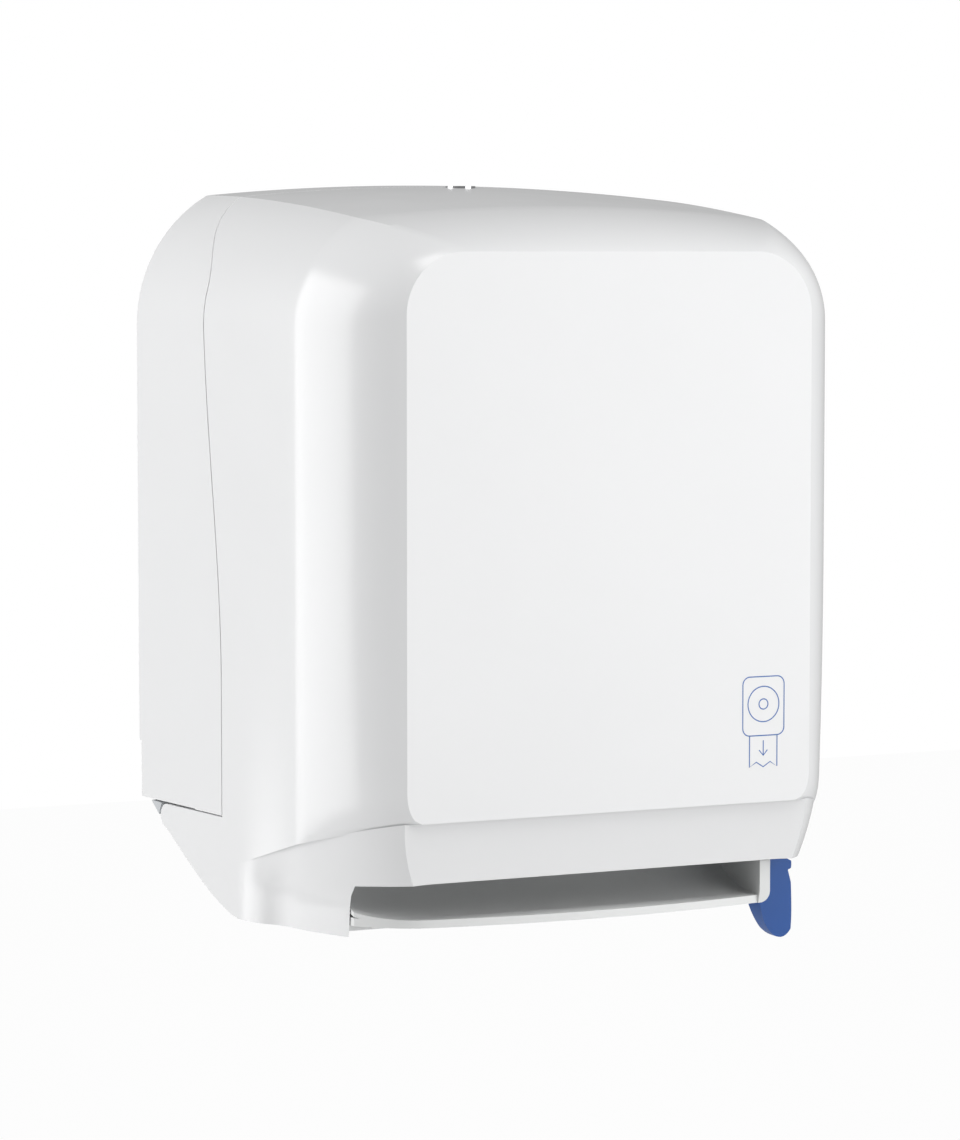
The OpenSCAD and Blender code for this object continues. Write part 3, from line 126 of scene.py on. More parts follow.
def rad(a):
    return math.radians(a)


# ---- The casing's surface, as in the CAD but with a finer grid ----
def band_angle(row):
    return rad(mix(BAND_START, BAND_END, min(1.0, row / N_BAND)))


def row_d(row):
    """Depth of a row: along an arc over the band, then evenly to the wall."""
    if row > N_BAND:
        return mix(BAND_D, BODY_D, (row - N_BAND) / N_BACK)
    a, a0, a1 = band_angle(row), rad(BAND_START), rad(BAND_END)
    return BAND_D * (math.cos(a0) - math.cos(a)) / (math.cos(a0) - math.cos(a1))


def row_grow(row):
    """How far a row has grown from the panel's outline to the casing's, from 0 to 1."""
    if row > N_BAND:
        return 1.0
    a, a0, a1 = band_angle(row), rad(BAND_START), rad(BAND_END)
    return (math.sin(a) - math.sin(a0)) / (math.sin(a1) - math.sin(a0))


def crown_at(g):
    """Height of the crown, with g from 0 at the crease to 1 at the wall."""
    return mix(CROWN_FRONT, BODY_H, 1 - max(0.0, 1 - g) ** CROWN_POWER)


def side_share(k):
    """Share of the way up the straight side, with closer points beside the panel's lower corner."""
    close, part = 10, 0.075
    return part * k / close if k <= close else mix(part, 1.0, (k - close) / (N_SIDE - close))


def chin_share(h, low):
    """How far down the chin a point is, from 0 at the ledge to 1."""
    return max(0.0, min(1.0, (low - h) / (low - CHIN_LOW)))


def outline_pt(w, crown, i, low):
    """Point i up the right half of the casing's outline, w from the middle and crown high."""
    if i <= N_LOW:
        return w, mix(SKIN_LOW, low, i / N_LOW)
    if i <= SIDE_END:
        return w, mix(low, SHOULDER_H, side_share(i - N_LOW - 1))
    r = (crown - ARCH - SHOULDER_H) / math.sin(rad(SWEEP))
    if i <= ARC_END:
        a = rad(SWEEP * (i - SIDE_END) / N_ARC)
        return w - r * (1 - math.cos(a)), SHOULDER_H + r * math.sin(a)
    q = (i - ARC_END) / N_TOP
    return (w - r * (1 - math.cos(rad(SWEEP)))) * (1 - q), crown - ARCH * (1 - q) ** 2


def panel_pt(i, low):
    """Point i up the right half of the front panel's outline."""
    half, top = PANEL_W / 2, PANEL_TOP - PANEL_R
    if i <= N_LOW:
        h = mix(SKIN_LOW, low, i / N_LOW)
        return half - CHIN_ROUND * chin_share(h, low) ** 2, h
    if i <= SIDE_END:
        h = mix(low, top, side_share(i - N_LOW - 1))
        u = max(0.0, 1 - (h - low) / PANEL_LOW_R)
        return half - PANEL_LOW_R * PANEL_LOW_IN * (1 - math.sqrt(max(0.0, 1 - u * u))), h
    if i <= ARC_END:
        a = rad(90 * (i - SIDE_END) / N_ARC)
        return half - PANEL_R * (1 - math.cos(a)), top + PANEL_R * math.sin(a)
    q = (i - ARC_END) / N_TOP
    return (half - PANEL_R) * (1 - q), PANEL_TOP


def out_dir(i):
    """The way out of the casing at column i, across and up."""
    if i <= SIDE_END:
        return 1.0, 0.0
    if i <= ARC_END:
        a = rad(OUT_TURN * (i - SIDE_END) / N_ARC)
        return math.cos(a), math.sin(a)
    return 0.0, 1.0


def skin_pt(i, row, t):
    """Column i of a row of the casing's surface, moved in by t."""
    d0 = row_d(row)
    low = LIP_H - LIP_SLOPE * d0
    grow = row_grow(row)
    g = max(0, row - N_BAND) / N_BACK
    p = panel_pt(i, low)
    c = outline_pt(mix(CREASE_W, HALF_W, g), crown_at(g), i, low)
    x, h = mix(p[0], c[0], grow), mix(p[1], c[1], grow)
    fade = 1.0 if row <= N_BAND else 1 - smooth((d0 - BAND_D) / (LIP_RUN - BAND_D))
    corner = grow * fade
    tuck = 0.0 if i > SIDE_END else (max(0.0, TUCK_H - h) / TUCK_SPAN) ** 2
    chin = 0.0 if i > N_LOW else 1.0
    chin_low = chin * chin_share(h, low)
    back = (corner * TUCK_BACK * tuck + chin * LIP_STEP * max(fade, STEP_LEAST)
            + chin_low * (CHIN_BACK * fade + CHIN_CORNER_BACK * corner))
    inward = (corner * TUCK_IN * tuck + corner * (chin * CHIN_STEP_IN + chin_low * CHIN_CORNER_IN)
              + chin * CHIN_IN_LEAST)
    lean = rad(mix(LEAN_FRONT, LEAN_SIDE, grow) if row <= N_BAND else LEAN_SIDE)
    dx, dh = out_dir(i)
    ledge = t if i in (N_LOW, N_LOW + 1) else 0.0
    low_end = -t if i == 0 else 0.0
    tail = TAIL if row == LAST_ROW and t > 0 else 0.0
    lift = BAND_LIFT * (1 - grow)
    return (x - inward - t * dx * math.sin(lean), d0 + lift + back + t * math.cos(lean) + tail,
            h - t * dh * math.sin(lean) + ledge + low_end)


def skin_rows(t):
    """Half sections from the panel to the wall, with a strip inside the panel's edge and a soft crease."""
    before = N_BAND * (1 - CREASE_SOFT / BAND_LENGTH)
    after = N_BAND + N_BACK * CREASE_SOFT / (BODY_D - BAND_D)
    table = [k * before / (N_BAND - 2) for k in range(N_BAND - 1)]
    rows = [[skin_pt(i, row, t) for i in range(N_HALF)] for row in table]
    edges = [[skin_pt(i, row, t) for i in range(N_HALF)] for row in (before, N_BAND, after)]
    for k in range(1, N_BEND):
        u = k / N_BEND
        rows.append([tuple((1 - u) ** 2 * a[c] + 2 * u * (1 - u) * b[c] + u * u * e[c] for c in range(3))
                     for a, b, e in zip(*edges)])
    table = [after + (LAST_ROW - after) * (k / (N_BACK - 1)) for k in range(N_BACK)]
    rows += [[skin_pt(i, min(row, LAST_ROW), t) for i in range(N_HALF)] for row in table]
    strip = []
    for i, (x, d, h) in enumerate(rows[0]):
        dx, dh = out_dir(i) if i > N_LOW + 1 else (1.0, 0.0)
        strip.append((max(0.0, x - PANEL_STRIP * dx), d, h - PANEL_STRIP * dh))
    return [strip] + rows


def skin_block(t):
    """The casing as one closed block, inset by t all round, in mm."""
    halves = skin_rows(t)
    rows, cols = len(halves), 2 * N_HALF - 1
    verts = []
    for half in halves:
        verts += [(-x, d, h) for x, d, h in half] + [half[i] for i in range(N_HALF - 2, -1, -1)]

    def g(j, row):
        return row * cols + j
    last = rows - 1
    faces = [[g(j, r), g(j + 1, r), g(j + 1, r + 1), g(j, r + 1)]
             for r in range(last) for j in range(cols - 1)]
    for j in range(ARC_END - 1):
        m = cols - 1 - j
        faces.append([g(j, 0), g(m, 0), g(m - 1, 0), g(j + 1, 0)])
        faces.append([g(j, last), g(j + 1, last), g(m - 1, last), g(m, last)])
    faces.append([g(j, 0) for j in range(cols - ARC_END, ARC_END - 2, -1)])
    faces.append([g(j, last) for j in range(ARC_END - 1, cols - ARC_END + 1)])
    for r in range(last):
        faces.append([g(0, r), g(0, r + 1), g(cols - 1, r + 1), g(cols - 1, r)])
    return mesh_object("block", verts, faces)


# ---- Mesh tools ----
def mesh_object(name, verts, faces):
    """A new object with its faces turned outwards."""
    mesh = bpy.data.meshes.new(name)
    mesh.from_pydata([tuple(v) for v in verts], [], faces)
    mesh.validate()
    bm = bmesh.new()
    bm.from_mesh(mesh)
    bmesh.ops.recalc_face_normals(bm, faces=bm.faces)
    bm.to_mesh(mesh)
    bm.free()
    obj = bpy.data.objects.new(name, mesh)
    bpy.context.scene.collection.objects.link(obj)
    return obj


def prism(axis, outline, low, high):
    """An outline pushed along an axis: x takes (d, h) points, d takes (x, h) and h takes (x, d)."""
    place = {"x": lambda p, t: (t, p[0], p[1]), "d": lambda p, t: (p[0], t, p[1]),
             "h": lambda p, t: (p[0], p[1], t)}[axis]
    n = len(outline)
    verts = [place(p, low) for p in outline] + [place(p, high) for p in outline]
    faces = [list(range(n)), list(range(2 * n - 1, n - 1, -1))]
    faces += [[i, (i + 1) % n, n + (i + 1) % n, n + i] for i in range(n)]
    return mesh_object("prism", verts, faces)


def ring(cx, cy, r, n=64, a0=0.0, a1=360.0):
    """Points round a circle, or along an arc from a0 to a1."""
    steps = n if a1 - a0 == 360 else n + 1
    return [(cx + r * math.cos(rad(mix(a0, a1, k / n))), cy + r * math.sin(rad(mix(a0, a1, k / n))))
            for k in range(steps)]


def drop(obj):
    mesh = obj.data
    bpy.data.objects.remove(obj)
    bpy.data.meshes.remove(mesh)


def settle(obj):
    """Applies an object's modifiers."""
    graph = bpy.context.evaluated_depsgraph_get()
    mesh = bpy.data.meshes.new_from_object(obj.evaluated_get(graph))
    old = obj.data
    obj.modifiers.clear()
    obj.data = mesh
    bpy.data.meshes.remove(old)
    return obj


def combine(obj, other, operation):
    """Applies a boolean with another object, and uses that object up."""
    mod = obj.modifiers.new("cut", "BOOLEAN")
    mod.operation = operation
    mod.solver = "MANIFOLD"
    mod.object = other
    settle(obj)
    drop(other)
    return obj


def cut(obj, other):
    return combine(obj, other, "DIFFERENCE")


def join(obj, other):
    return combine(obj, other, "UNION")


def keep(obj, other):
    return combine(obj, other, "INTERSECT")


def tidied(obj):
    """Merges points that all but touch, and drops the faces and edges that have no size."""
    gap = 0.004
    bm = bmesh.new()
    bm.from_mesh(obj.data)
    bmesh.ops.remove_doubles(bm, verts=bm.verts, dist=gap)
    bmesh.ops.dissolve_degenerate(bm, dist=gap, edges=bm.edges)
    bmesh.ops.delete(bm, geom=[e for e in bm.edges if not e.link_faces], context="EDGES")
    bm.to_mesh(obj.data)
    bm.free()
    return obj


def rounded(obj, width, segments=2):
    """Bevels the edges where there is room for it; the rest collapse, and are merged away."""
    mod = obj.modifiers.new("round", "BEVEL")
    mod.width = width
    mod.segments = segments
    mod.limit_method = "ANGLE"
    mod.angle_limit = rad(BEVEL_ANGLE)
    mod.use_clamp_overlap = True
    mod.harden_normals = False
    return tidied(settle(obj))


def finish_piece(obj, name, body, material, nodes=(), sharp=30.0):
    """Turns a piece drawn in mm into metres, in its place, and hands it to the frame."""
    mesh = obj.data
    for v in mesh.vertices:
        v.co = at(*v.co)
    mesh.update()
    obj.name = name
    mesh.name = name
    mesh.materials.clear()
    mesh.materials.append(material)
    mesh.polygons.foreach_set("use_smooth", [True] * len(mesh.polygons))
    mesh.polygons.foreach_set("material_index", [0] * len(mesh.polygons))
    mesh.set_sharp_from_angle(angle=rad(sharp))
    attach(obj, body)
    if nodes:
        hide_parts(*nodes)
    return obj


# ---- Materials ----
def node_material(name):
    """A new material, with its node tree and its shader."""
    mat = bpy.data.materials.new(name)
    mat.use_nodes = True
    tree = mat.node_tree
    return mat, tree, tree.nodes["Principled BSDF"]


def noise(tree, coords, scale, detail=3.0):
    """Noise in the object's own coordinates."""
    tex = tree.nodes.new("ShaderNodeTexNoise")
    tex.inputs["Scale"].default_value = scale
    tex.inputs["Detail"].default_value = detail
    tree.links.new(coords.outputs["Object"], tex.inputs["Vector"])
    return tex.outputs["Fac"]


def spread(tree, value, low, high):
    """A noise's values spread from low to high."""
    node = tree.nodes.new("ShaderNodeMapRange")
    node.inputs["To Min"].default_value = low
    node.inputs["To Max"].default_value = high
    node.inputs["From Min"].default_value = NOISE_LOW
    node.inputs["From Max"].default_value = NOISE_HIGH
    tree.links.new(value, node.inputs["Value"])
    return node.outputs["Result"]


def tint(tree, value, color_a, color_b):
    """A colour that drifts between two with a noise's values."""
    ramp = tree.nodes.new("ShaderNodeValToRGB")
    ramp.color_ramp.elements[0].position = NOISE_LOW
    ramp.color_ramp.elements[1].position = NOISE_HIGH
    ramp.color_ramp.elements[0].color = (*color_a, 1)
    ramp.color_ramp.elements[1].color = (*color_b, 1)
    tree.links.new(value, ramp.inputs["Fac"])
    return ramp.outputs["Color"]


def bump(tree, bsdf, height, strength, distance):
    node = tree.nodes.new("ShaderNodeBump")
    node.inputs["Strength"].default_value = strength
    node.inputs["Distance"].default_value = distance
    tree.links.new(height, node.inputs["Height"])
    tree.links.new(node.outputs["Normal"], bsdf.inputs["Normal"])


def plastic(name, color, rough, grain, depth, shift=0.03, ior=1.5):
    """Moulded plastic: slow colour drift, patchy gloss and the fine texture of the mould."""
    mat, tree, bsdf = node_material(name)
    coords = tree.nodes.new("ShaderNodeTexCoord")
    drift = noise(tree, coords, 9.0, 4.0)
    darker = tuple(c * (1 - shift) for c in color)
    tree.links.new(tint(tree, drift, darker, color), bsdf.inputs["Base Color"])
    tree.links.new(spread(tree, noise(tree, coords, 25.0, 3.0), rough * 0.96, rough * 1.04),
                   bsdf.inputs["Roughness"])
    bump(tree, bsdf, noise(tree, coords, grain, 2.0), 0.3, depth)
    bsdf.inputs["IOR"].default_value = ior
    return mat


def metal(name, color, rough):
    """Metal with fine mottling in its colour and gloss."""
    mat, tree, bsdf = node_material(name)
    coords = tree.nodes.new("ShaderNodeTexCoord")
    mottle = noise(tree, coords, 400.0, 4.0)
    tree.links.new(tint(tree, mottle, tuple(c * 0.85 for c in color), color), bsdf.inputs["Base Color"])
    tree.links.new(spread(tree, mottle, rough * 0.75, rough * 1.25), bsdf.inputs["Roughness"])
    bump(tree, bsdf, mottle, 0.25, 0.00002)
    bsdf.inputs["Metallic"].default_value = 1.0
    return mat


def rubber(name, color):
    """Matt rubber with a coarse grain."""
    mat, tree, bsdf = node_material(name)
    coords = tree.nodes.new("ShaderNodeTexCoord")
    tree.links.new(tint(tree, noise(tree, coords, 70.0, 4.0), color, tuple(c * 1.6 for c in color)),
                   bsdf.inputs["Base Color"])
    tree.links.new(spread(tree, noise(tree, coords, 150.0), 0.65, 0.85), bsdf.inputs["Roughness"])
    bump(tree, bsdf, noise(tree, coords, 1600.0, 3.0), 0.6, 0.00008)
    return mat


WHITE = plastic("white_abs", (0.83, 0.834, 0.84), 0.24, grain=700.0, depth=0.000002, shift=0.012, ior=1.6)
TRAY_WHITE = plastic("tray_abs", (0.80, 0.81, 0.805), 0.38, grain=1400.0, depth=0.00004)
GREY = plastic("grey_abs", (0.56, 0.58, 0.6), 0.5, grain=1200.0, depth=0.00006)
BLUE = plastic("blue_pom", (0.004, 0.078, 0.335), 0.34, grain=1100.0, depth=0.000008, shift=0.05)
NYLON = plastic("natural_pom", (0.78, 0.77, 0.71), 0.42, grain=800.0, depth=0.00004, shift=0.05)
STEEL = metal("zinc_steel", (0.62, 0.63, 0.64), 0.34)
WIRE = metal("spring_wire", (0.5, 0.5, 0.52), 0.3)
CHROME = metal("plated_lock", (0.7, 0.7, 0.71), 0.18)
BRONZE = metal("sintered_bronze", (0.55, 0.36, 0.17), 0.5)
RUBBER = rubber("grip_rubber", (0.035, 0.036, 0.038))
PRINT = plastic("blue_print", (0.07, 0.17, 0.48), 0.45, grain=1500.0, depth=0.00001, shift=0.1)
# The look of each of the record's material slots, given to the CAD solids
LOOKS = {"white_cover": WHITE, "grey_frame": GREY, "white_tray": TRAY_WHITE, "blue_plastic": BLUE,
         "white_nylon": NYLON, "bronze": BRONZE, "grip_rubber": RUBBER, "steel": STEEL,
         "spring_steel": WIRE, "lock_metal": CHROME}
for part in frame["record"]["subparts"]:
    node_mesh = frame["nodes"][part["node"]].data
    node_mesh.materials.clear()
    node_mesh.materials.append(LOOKS[part["material_slot"]])


# ---- Casing ----
def seam_at(h):
    """Depth of the seam between the cover and the rear casing at height h."""
    bend_low, bend_high = 120.0, SHOULDER_H + 20
    if h <= bend_high:
        return mix(SEAM_LOW_D, SEAM_SHOULDER_D, smooth((h - bend_low) / (bend_high - bend_low)))
    return mix(SEAM_SHOULDER_D, SEAM_TOP_D, smooth((h - bend_high) / (BODY_H - bend_high)))


SEAM = [(seam_at(h), h) for h in [mix(WING_TOP, BODY_H + PAST, k / 90) for k in range(91)]]
# Corners of the cover's lower edge, from below the outlet up to the hinge
UNDER = [(116.0, 0.0), (126.0, 1.6), (144.0, 8.7), (162.0, 18.0), (198.0, 39.8),
         (WING_END, WING_TOP - 0.6)]


def under_curve():
    """The cover's lower edge with its bends rounded off."""
    out = [UNDER[0]]
    for a, b, c in zip(UNDER, UNDER[1:], UNDER[2:]):
        for k in range(1, 8):
            u = k / 8
            p = (mix(mix(a[0], b[0], 0.5), b[0], u), mix(mix(a[1], b[1], 0.5), b[1], u))
            q = (mix(b[0], mix(b[0], c[0], 0.5), u), mix(b[1], mix(b[1], c[1], 0.5), u))
            out.append((mix(p[0], q[0], u), mix(p[1], q[1], u)))
    return out + [UNDER[-1]]


def under_at(d):
    """Height of the cover's lower edge at depth d, before its bends are rounded."""
    for (d0, h0), (d1, h1) in zip(UNDER, UNDER[1:]):
        if d <= d1:
            return mix(h0, h1, (d - d0) / (d1 - d0))
    return UNDER[-1][1]


def slot_edge(x):
    """Height of the outlet's top edge, which falls away near the corners."""
    return OUTLET_H - SLOT_FALL * max(0.0, abs(x) - SLOT_BEND) ** 2


def slot_points(x0, x1):
    """Points along the outlet's top edge."""
    return [(mix(x0, x1, k / 12), slot_edge(mix(x0, x1, k / 12))) for k in range(13)]


def hinge_ear(s):
    """The cover's ear with its pin hole, inside the wing on side s."""
    root = HINGE_D - EAR_RUN
    outline = [(HINGE_D, HINGE_H + EAR_R), (root, HINGE_H), (root, under_at(root) + 1)]
    arc = ring(HINGE_D, HINGE_H, EAR_R, 32, -90.0, 90.0)
    inside = HALF_W - SIDE_DRAFT * (BODY_D - HINGE_D) / (BODY_D - BAND_D) - WALL
    x0, x1 = sorted((s * (inside - 5), s * (inside + 0.7)))
    ear = prism("x", outline + arc[:-1], x0, x1)
    x0, x1 = sorted((s * (inside - 6), s * inside))
    return cut(ear, prism("x", ring(HINGE_D, HINGE_H, PIN_HOLE_R), x0, x1))


def make_cover():
    """The front cover: its shell, the outlet's floor and cheek, the lock's pad and the hinge ears."""
    half_gap = SEAM_GAP / 2
    wing = ring(HINGE_D, HINGE_H, WING_R, 24, -78.0, 88.0)
    lower = [p for p in under_curve() if p[0] < HINGE_D + 0.5]
    outline = ([(-PAST, 0.0)] + lower + wing + [(SEAM[0][0] - half_gap, WING_TOP)]
               + [(d - half_gap, h) for d, h in SEAM[1:]] + [(-PAST, BODY_H + PAST)])
    cover = keep(skin_block(0.0), prism("x", outline, -HALF_W - PAST_X, HALF_W + PAST_X))
    cut(cover, skin_block(WALL))
    inner = [(d - 1.2, h + WALL) for d, h in lower if d < FLOOR_D1]
    front = FLOOR_D0 - 30
    floor = [(front, 0.0)] + [p for p in lower if p[0] < FLOOR_D1] + inner[::-1] + [(front, WALL)]
    join(cover, keep(prism("x", floor, -HALF_W, HALF_W), skin_block(INSIDE)))
    cheek = [(0.0, 0.0), (62.0, 0.0), (62.0, 26.0), (50.0, 34.0), (0.0, 34.0)]
    join(cover, keep(prism("x", cheek, OUTLET_LEFT - 2.5, OUTLET_LEFT), skin_block(INSIDE)))
    lock_top = crown_at((LOCK_D - BAND_D) / (BODY_D - BAND_D))
    pad = prism("h", ring(0.0, LOCK_D, LOCK_PAD_R), lock_top - WALL - 1.4, lock_top + 3.6)
    join(cover, keep(pad, skin_block(INSIDE)))
    # Outlet, and the corner that is left out around the lever
    below, aside, corner_d = -5.0, HALF_W + 10, NOTCH[-1][0]
    outlet = ([(OUTLET_LEFT, below)] + slot_points(OUTLET_LEFT, -SLOT_BEND)
              + [(SLOT_X1 + 1, OUTLET_H), (SLOT_X1 + 1, below)])
    cut(cover, prism("d", outlet, -10, FLOOR_D0))
    bend_end = LEVER_X + LEVER_W + 5
    corner = ([(SLOT_X1, below), (SLOT_X1, OUTLET_H)] + slot_points(SLOT_BEND, bend_end)
              + [(aside, slot_edge(bend_end)), (aside, below)])
    cut(cover, prism("d", corner, -10, corner_d))
    notch = [(NOTCH[0][0], below)] + NOTCH + [(corner_d, below)]
    cut(cover, prism("x", notch, LEVER_X - 4, aside))
    lever_way = [(95.0, 60.0), (135.0, 60.0), (135.0, 108.0), (95.0, 108.0)]
    cut(cover, prism("h", lever_way, below, 7))
    cut(cover, prism("h", ring(0.0, LOCK_D, LOCK_R + 0.15), lock_top - 15, lock_top + 15))
    for s in (-1, 1):
        join(cover, keep(hinge_ear(s), skin_block(INSIDE)))
    return cover


def make_rear_shell():
    """The rear casing: its shell, and the lugs it is screwed on by."""
    half_gap, step_d, step_h = SEAM_GAP / 2, BODY_D - 2.5, 81.0
    outline = ([(step_d, REAR_LOW), (step_d, step_h), (BODY_D, step_h), (BODY_D, BODY_H + PAST)]
               + [(d + half_gap, h) for d, h in SEAM[:0:-1]] + [(SEAM[0][0] + half_gap, REAR_LOW)])
    shell = keep(skin_block(0.0), prism("x", outline, -HALF_W - PAST_X, HALF_W + PAST_X))
    cut(shell, skin_block(WALL))
    for s in (-1, 1):
        for h in (96.0, 280.0):
            x0, x1 = sorted((s * LUG_X, s * (HALF_W - 1)))
            d0, d1 = LUG_D, LUG_D + LUG_T
            lug = prism("h", [(x0, d0), (x1, d0), (x1, d1), (x0, d1)], h - LUG_HALF, h + LUG_HALF)
            join(shell, cut(lug, prism("d", ring(s * LUG_HOLE_X, h, LUG_HOLE_R, 24), d0 - 1, d1 + 1)))
    return shell


# ---- Outlet tray ----
def lip_d(x):
    """Depth of the lip's bowed front edge, which turns back more at the left."""
    return (LIP_FRONT + LIP_RADIUS - math.sqrt(LIP_RADIUS ** 2 - x * x)
            + LIP_BEND * max(0.0, -x - SLOT_BEND) ** 2)


def make_tray():
    """The tray the towel comes out over: lip, curved sheet, end cheek, screwed plate, bar and ribs."""
    left, right, low = OUTLET_LEFT + 0.6, OUTLET_RIGHT, TRAY_LIP_H - TRAY_LIP_T
    plan = [(mix(left, right, k / 60), lip_d(mix(left, right, k / 60))) for k in range(61)]
    tray = prism("h", plan + [(right, 30.0), (-SLOT_BEND, 40.0), (left, 45.0)], low, TRAY_LIP_H)
    arc = [rad(90 * k / 24) for k in range(25)]
    inner = [(TRAY_D + TRAY_RUN * math.sin(a), TRAY_LIP_H + TRAY_RISE * (1 - math.cos(a))) for a in arc]
    outer = [(TRAY_D + (TRAY_RUN + TRAY_SHEET) * math.sin(a),
              TRAY_LIP_H - TRAY_SHEET + TRAY_RISE * (1 - math.cos(a))) for a in arc]
    sheet = keep(prism("x", inner + outer[::-1], left, right),
                 prism("h", plan + [(right, 80.0), (left, 80.0)], -10, BODY_H))
    join(tray, sheet)
    cheek = [(13.0, low), (11.5, 12.0), (11.5, OUTLET_H - 1), (56.0, OUTLET_H - 1), (FLOOR_D0 + 2, low)]
    join(tray, prism("x", cheek, SLOT_X1, right))
    plate, plate_top = [(left, 46.0), (right - 6, 46.0), (right - 6, 78.0), (left, 78.0)], WALL + 2.6
    join(tray, prism("h", plate, WALL, plate_top))
    bar = [(56.0, plate_top - 1), (60.0, plate_top - 1), (60.0, 31.0), (TRAY_D + TRAY_RUN, 31.0),
           (56.0, 28.0)]
    join(tray, prism("x", bar, left, right))
    rib = [(32.0, low + 1), (46.0, WALL), (58.0, WALL), (57.0, 22.0), (36.0, 12.0)]
    for x in (-112.0, -81.0, -19.0, 43.0, 88.0):
        join(tray, prism("x", rib, x, x + 2))
    for x in TRAY_SCREW_X:
        cut(tray, prism("h", ring(x, TRAY_SCREW_D, 1.5, 24), WALL - 1, WALL + 5))
    r = TRAY_CORNER
    corner = [(right - r, low - 1), (right + 1, low - 1), (right + 1, low + r)]
    corner += [(right - r + r * math.cos(rad(-a)), low + r + r * math.sin(rad(-a)))
               for a in range(0, 91, 6)]
    cut(tray, prism("d", corner, 0, 44))
    return tray


# ---- Lever ----
def make_lever():
    """The push lever: paddle with its neck and ball, arm, pivot boss, and the tail above the pivot."""
    right, back = LEVER_X + LEVER_W, LEVER_D + LEVER_T
    front = []
    for start, wide, high in ((180, LEVER_W - END_IN, LEFT_HIGH), (270, END_IN, RIGHT_HIGH)):
        front += [(right - END_IN + wide * math.cos(rad(start + a)),
                   LEVER_LOW + high + high * math.sin(rad(start + a))) for a in range(0, 91, 5)]
    front += [(right - 0.5, 3.0), (right - 1.7, 9.0), (right - 3.2, 14.5), (right - 4.3, 18.4)]
    front += [(right - BALL_IN + BALL_R * math.cos(rad(a)), BALL_H + BALL_R * math.sin(rad(a)))
              for a in range(-80, 81, 16)]
    front += [(right - 6, 25.0), (LEVER_X + ARM_T, 27.0), (LEVER_X + ARM_T, 40.0), (LEVER_X, 40.0)]
    paddle = prism("d", front, LEVER_D, back)
    side = [(LEVER_D, LEVER_LOW), (LEVER_D, 40.0), (back, 40.0)]
    side += [(LEVER_D + LEVER_T * p, LEVER_LOW + h) for p, h in PADDLE_BACK]
    keep(paddle, prism("x", side, LEVER_X - 1, right + 1))
    chamfered = [(LEVER_X - 1, LEVER_D - 1), (right - 2.5, LEVER_D - 1), (right - 2.5, LEVER_D),
                 (right, LEVER_D + 3.5), (right, back + 1), (LEVER_X - 1, back + 1)]
    keep(paddle, prism("h", chamfered, LEVER_LOW - 1, 41))
    neck = [(right - 1.9, LEVER_D + 2.0), (right + 3, LEVER_D + 2.0), (right + 3, back + 2),
            (right - 1.9, back + 2)]
    cut(paddle, prism("h", neck, 6.0, 17.5))
    arm = [(PIVOT_D - 9, PIVOT_H), (PIVOT_D + 9, PIVOT_H), (back, 60.0), (back, 30.0),
           (LEVER_D, 30.0), (LEVER_D, 60.0)]
    join(paddle, prism("x", arm, LEVER_X, LEVER_X + ARM_T))
    join(paddle, prism("x", ring(PIVOT_D, PIVOT_H, BOSS_R), LEVER_X - 2.5, LEVER_X + ARM_T))
    tail = PIVOT_H + 20
    tail_plate = [(PIVOT_D - 5, PIVOT_H), (PIVOT_D + 5, PIVOT_H), (PIVOT_D + 5, tail + 4),
                  (PIVOT_D - 5, tail + 4)]
    join(paddle, prism("x", tail_plate, LEVER_X, LEVER_X + 2.5))
    join(paddle, prism("x", ring(PIVOT_D, tail, 2.5, 32), LEVER_X, LEVER_X + 7.5))
    cut(paddle, prism("x", ring(PIVOT_D, PIVOT_H, PIVOT_R), LEVER_X - 10, LEVER_X + 30))
    for a in (110, 230, 350):
        spot = (PIVOT_D + ARM_SCREW_RING * math.cos(rad(a)), PIVOT_H + ARM_SCREW_RING * math.sin(rad(a)))
        cut(paddle, prism("x", ring(*spot, ARM_SCREW_R, 20), LEVER_X - 3.5, LEVER_X + 4))
    return paddle


# ---- Printed mark: a plain roll-and-sheet sign with an arrow, without lettering ----
def stroke(points, width, closed=False):
    """A flat line of even width on the panel, drawn through (x, h) points."""
    n = len(points)
    sides = []
    for k, (x, h) in enumerate(points):
        a = points[(k - 1) % n] if closed or k > 0 else points[k]
        b = points[(k + 1) % n] if closed or k < n - 1 else points[k]
        ux, uh = b[0] - a[0], b[1] - a[1]
        size = math.hypot(ux, uh)
        sides.append((x - uh / size * width / 2, h + ux / size * width / 2,
                      x + uh / size * width / 2, h - ux / size * width / 2))
    top, low = 0.02, 0.12
    verts = [(x, d, h) for x0, h0, x1, h1 in sides for x, h, d in
             ((x0, h0, top), (x1, h1, top), (x1, h1, low), (x0, h0, low))]
    faces = []
    for k in range(n if closed else n - 1):
        a, b = 4 * k, 4 * ((k + 1) % n)
        faces += [[a + c, a + (c + 1) % 4, b + (c + 1) % 4, b + c] for c in range(4)]
    if not closed:
        faces += [[0, 3, 2, 1], [4 * n - 4, 4 * n - 3, 4 * n - 2, 4 * n - 1]]
    return mesh_object("stroke", verts, faces)


def soft_box(x0, x1, h0, h1, r):
    """The outline of a box with round corners."""
    corners = [(x1 - r, h1 - r, 0), (x0 + r, h1 - r, 90), (x0 + r, h0 + r, 180), (x1 - r, h0 + r, 270)]
    return [(cx + r * math.cos(rad(a0 + a)), ch + r * math.sin(rad(a0 + a)))
            for cx, ch, a0 in corners for a in range(0, 91, 15)]


